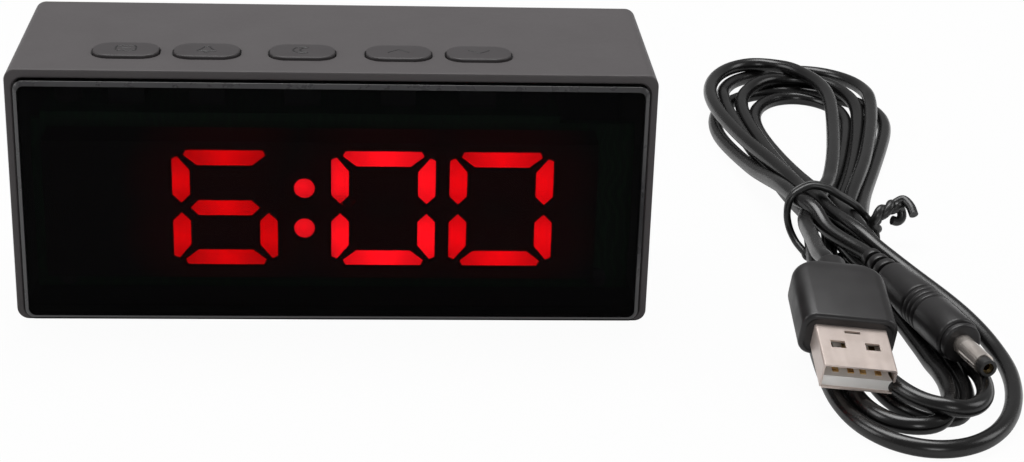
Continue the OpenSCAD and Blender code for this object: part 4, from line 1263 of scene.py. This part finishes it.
@dataclass
class Shell:
    """Housing, rear cover and battery door, with the soft edges that a mould leaves.

    Attributes:
        front: Where the plane of the rim is, in millimetres.
        rear: Where the plane of the back is.
        high: Height of the top.
        row: Half the width, the middle and half the depth of the row of key openings.
    """

    front: float = -18.3
    rear: float = 19.7
    high: float = 45.8
    row: Point = (45.0, -7.5, 5.0)

    def front_edges(self, middle: np.ndarray, way: np.ndarray) -> np.ndarray:
        """Pick the edges round the front rim and, at half the width, those round the key openings."""
        x, y, z = (middle / MM).T
        half_width, row_y, half_depth = self.row
        in_row = (np.abs(x) < half_width) & (np.abs(y - row_y) < half_depth)
        openings = in_row & (np.abs(z - self.high) < 0.02)
        return np.where(np.abs(y - self.front) < 0.02, 1.0, np.where(openings, 0.5, 0.0))

    def rear_edges(self, middle: np.ndarray, way: np.ndarray) -> np.ndarray:
        """Pick the edges in the plane of the back."""
        return np.abs(middle[:, 1] / MM - self.rear) < 0.02

    def build(self) -> list[Piece]:
        """Make the three mouldings."""
        body = moulded_copy("housing", "clock_housing", 0.32 * MM, 3, Finish.SHELL, self.front_edges)
        cover = moulded_copy("rear_cover", "clock_back", 0.22 * MM, 3, Finish.SHELL, self.rear_edges)
        door = moulded_copy("battery_door", "clock_battery_door", 0.14 * MM, 2, Finish.SHELL, self.rear_edges,
                            body="door")
        return [body, cover, door]


@dataclass
class Face:
    """Smoked front with its polished bevel, painted a lighter grey as a painted reflection, and the display
    behind it.

    Attributes:
        edges: Edges of the lens in front of this plane are rounded, in millimetres.
        faces: Sloping faces in front of this plane are polished, and painted lighter as a painted reflection.
        display: Finish of each node behind the lens.
    """

    edges: float = -18.9
    faces: float = -18.7
    display: tuple[tuple[Finish, str], ...] = (
        (Finish.TAPE, "lens_tape"), (Finish.REFLECTOR, "reflector_block"), (Finish.LIT, "lit_segments"),
        (Finish.UNLIT, "unlit_segments"), (Finish.FILM, "diffuser_film"), (Finish.LED, "led_chips"))

    def bevels(self, middle: np.ndarray, way: np.ndarray) -> np.ndarray:
        """Pick every edge at the front of the lens."""
        return middle[:, 1] / MM < self.edges

    def build(self) -> list[Piece]:
        """Make the lens and dress the display."""
        lens = moulded_copy("lens", "smoked_front", 0.09 * MM, 2, Finish.LENS, self.bevels)
        # Second slot: the bevel's lighter grey, a painted reflection on the same smoked acrylic.
        lens.data.materials.append(Finish.BEVEL.made())
        for face in lens.data.polygons:
            if abs(face.normal.y) < 0.96 and face.center.y < self.faces * MM:
                face.material_index = 1
        for finish, node in self.display:
            finish.on(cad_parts[node])
        return [lens]


class Mark(Enum):
    """Plain raised marks on the keys."""

    RING = "ring"
    BELL = "bell"
    MOON = "moon"
    RISE = "rise"
    FALL = "fall"


@dataclass
class Keys:
    """Five rounded keys with crowned tops and plain raised marks, the marks in a darker painted shade.

    Attributes:
        keys: Name, place across the clock and mark of each key, in millimetres like all the rest.
        y: Where the row is.
        size: Length and width of a key.
        corner: Radius of its corners.
        under: Height of its flange's underside.
        top: Height of the middle of its top.
        flange: Reach and thickness of its flange.
        crown: Rise of its top.
        edge: Radius of its top edge.
        mark_scale: How much larger the marks are than they are drawn.
        mark_sunk: How far the middle line of a mark's rib lies below the top.
        mark_rib: Radius of the rib.
    """

    keys: tuple[tuple[str, float, Mark], ...] = (
        ("mode", -35.0, Mark.RING), ("alarm", -21.5, Mark.BELL), ("snooze", -5.5, Mark.MOON),
        ("up", 10.7, Mark.RISE), ("down", 24.3, Mark.FALL))
    y: float = -8.4
    size: tuple[float, float] = (11.0, 7.2)
    corner: float = 3.02
    under: float = 42.1
    top: float = 46.4
    flange: tuple[float, float] = (0.8, 0.8)
    crown: float = 0.12
    edge: float = 0.28
    mark_scale: float = 1.35
    mark_sunk: float = 0.10
    mark_rib: float = 0.18

    def cap(self, x: float) -> np.ndarray:
        """Rings of one key from its flange up over its rounded edge to its crowned top."""
        length, width = self.size
        over, thick = self.flange
        shoulder = self.top - self.crown - self.edge
        steps = [(over, self.under), (over, self.under + thick), (0.0, self.under + thick), (0.0, shoulder)]
        steps += [(-self.edge * (1 - math.cos(a)), shoulder + self.edge * math.sin(a))
                  for a in np.linspace(0.15, math.pi / 2, 6)]
        steps += [(-inward, self.top - self.crown * (1 - inward / (width / 2)) ** 2)
                  for inward in np.linspace(0.5, width / 2 - 0.05, 8)]
        rings = []
        for grow, z in steps:
            round_by = min(max(self.corner + grow, 0.04), width / 2 + grow - 0.001)
            flat = rounded_rectangle(length + 2 * grow, width + 2 * grow, round_by, 23)
            rings.append(np.stack([flat[:, 0] + x, flat[:, 1] + self.y, np.full(len(flat), z)], -1))
        return np.array(rings)

    def mark_lines(self, mark: Mark) -> list[tuple[np.ndarray, bool]]:
        """Lines of one mark about its middle, in millimetres, and whether each is a closed loop."""
        if mark is Mark.RING:
            square = rounded_rectangle(2.5, 1.9, 0.5, 6)
            bar = np.stack([np.linspace(-0.65, 0.65, 8), np.zeros(8)], -1)
            return [(square, True), (bar, False)]
        if mark is Mark.BELL:
            t = np.linspace(0.0, 1.0, 24)
            half = 0.35 + 0.55 * smooth_step(t, 0.0, 1.0) + 0.25 * t**4
            y = 0.95 - 1.7 * t
            dome = np.concatenate([np.stack([-half, y], -1)[::-1], np.stack([half, y], -1)])
            a = math.pi + np.linspace(0.0, math.pi, 20, endpoint=False)
            foot = np.stack([0.28 * np.cos(a), -1.02 + 0.22 * np.sin(a)], -1)
            return [(dome, True), (foot, False)]
        if mark is Mark.MOON:
            b = np.linspace(0.9, 2 * math.pi - 0.9, 30)
            outer = np.stack([1.15 * np.cos(b), 1.15 * np.sin(b)], -1)
            c = np.linspace(-1.42, 1.42, 20)
            inner = np.stack([0.73 - 1.02 * np.cos(c), 0.91 * np.sin(c)], -1)
            return [(np.concatenate([outer, inner]), True)]
        way = 1.0 if mark is Mark.RISE else -1.0
        return [(np.array([[-1.3, -0.55 * way], [0.0, 0.6 * way], [1.3, -0.55 * way]]), False)]

    def raised(self, x: float, mark: Mark, name: str) -> Piece:
        """Raised ribs along a mark's lines, sunk a little into the key's top."""
        ribs = []
        for index, (line, loop) in enumerate(self.mark_lines(mark)):
            points = self.mark_scale * (np.vstack([line, line[:2]]) if loop else line)
            path = even_steps(np.column_stack([points, np.zeros(len(points))]), 0.14)
            middle = path + [x, self.y, self.top - self.mark_sunk]
            ribs.append(skin(f"{name}_rib_{index}", tube_rings(middle * MM, self.mark_rib * MM, 10)))
        return merged(name, ribs)

    def build(self) -> list[Piece]:
        """Make the keys and dress their plungers."""
        made = []
        for name, x, mark in self.keys:
            body = f"button_{name}_key"
            cap = shade(skin(f"key_{name}", self.cap(x) * MM), 35)
            rib = shade(self.raised(x, mark, f"key_mark_{name}"), 60)
            # The mark ribs take the darker painted-shade finish.
            made += [rides(cap, Finish.KEY, body, f"button_{name}"), rides(rib, Finish.MARK, body)]
            Finish.PLUNGER.on(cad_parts[f"plunger_{name}"])
        return made


@dataclass
class Insides:
    """Boards, parts, wires, battery contacts, screws and feet, all in their own finishes."""

    dressed: tuple[tuple[Finish, tuple[str, ...]], ...] = (
        (Finish.BOARD, ("display_board", "button_board")), (Finish.EPOXY, ("controller_chip",)),
        (Finish.CAN, ("crystal",)), (Finish.SLEEVE, ("capacitor",)), (Finish.HEADER, ("board_header",)),
        (Finish.SWITCH, ("switch_bodies",)), (Finish.STEEL, ("board_screws", "cover_screws")),
        (Finish.SPRING, ("battery_springs", "battery_plates")), (Finish.FOOT, ("rubber_feet",)),
        (Finish.JACK, ("power_jack",)), (Finish.NICKEL, ("jack_pin", "jack_contact")),
        (Finish.BUZZER, ("buzzer",)), (Finish.RED, ("red_wires",)), (Finish.BLACK, ("black_wires",)))

    def build(self) -> list[Piece]:
        """Dress every inner node."""
        pieces = []
        for finish, names in self.dressed:
            for name in names:
                finish.on(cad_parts[name])
                pieces.append(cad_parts[name])
        return pieces


# ---------------------------------------------------------------- everything


def report(group: str, pieces: Iterable[Piece]) -> None:
    """Log each piece of a group with its number of faces."""
    for piece in pieces:
        LOG.info("%s: %s, %d faces", group, piece.name, len(piece.data.polygons))


def main() -> None:
    """Build the studio, the lead and the clock in order, and note the sizes."""
    logging.basicConfig(level=logging.INFO, format="%(message)s")
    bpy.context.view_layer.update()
    Studio().build()
    lead = PowerLead()
    tube = lead.build()
    flat, round_end = FlatPlug().build(), RoundPlug().build()
    lead.declare()
    report("lead", [tube, *flat, *round_end, TwistTie().build()])
    report("shell", Shell().build())
    report("face", Face().build())
    report("keys", Keys().build())
    report("insides", Insides().build())


if __name__ == "__main__":
    main()
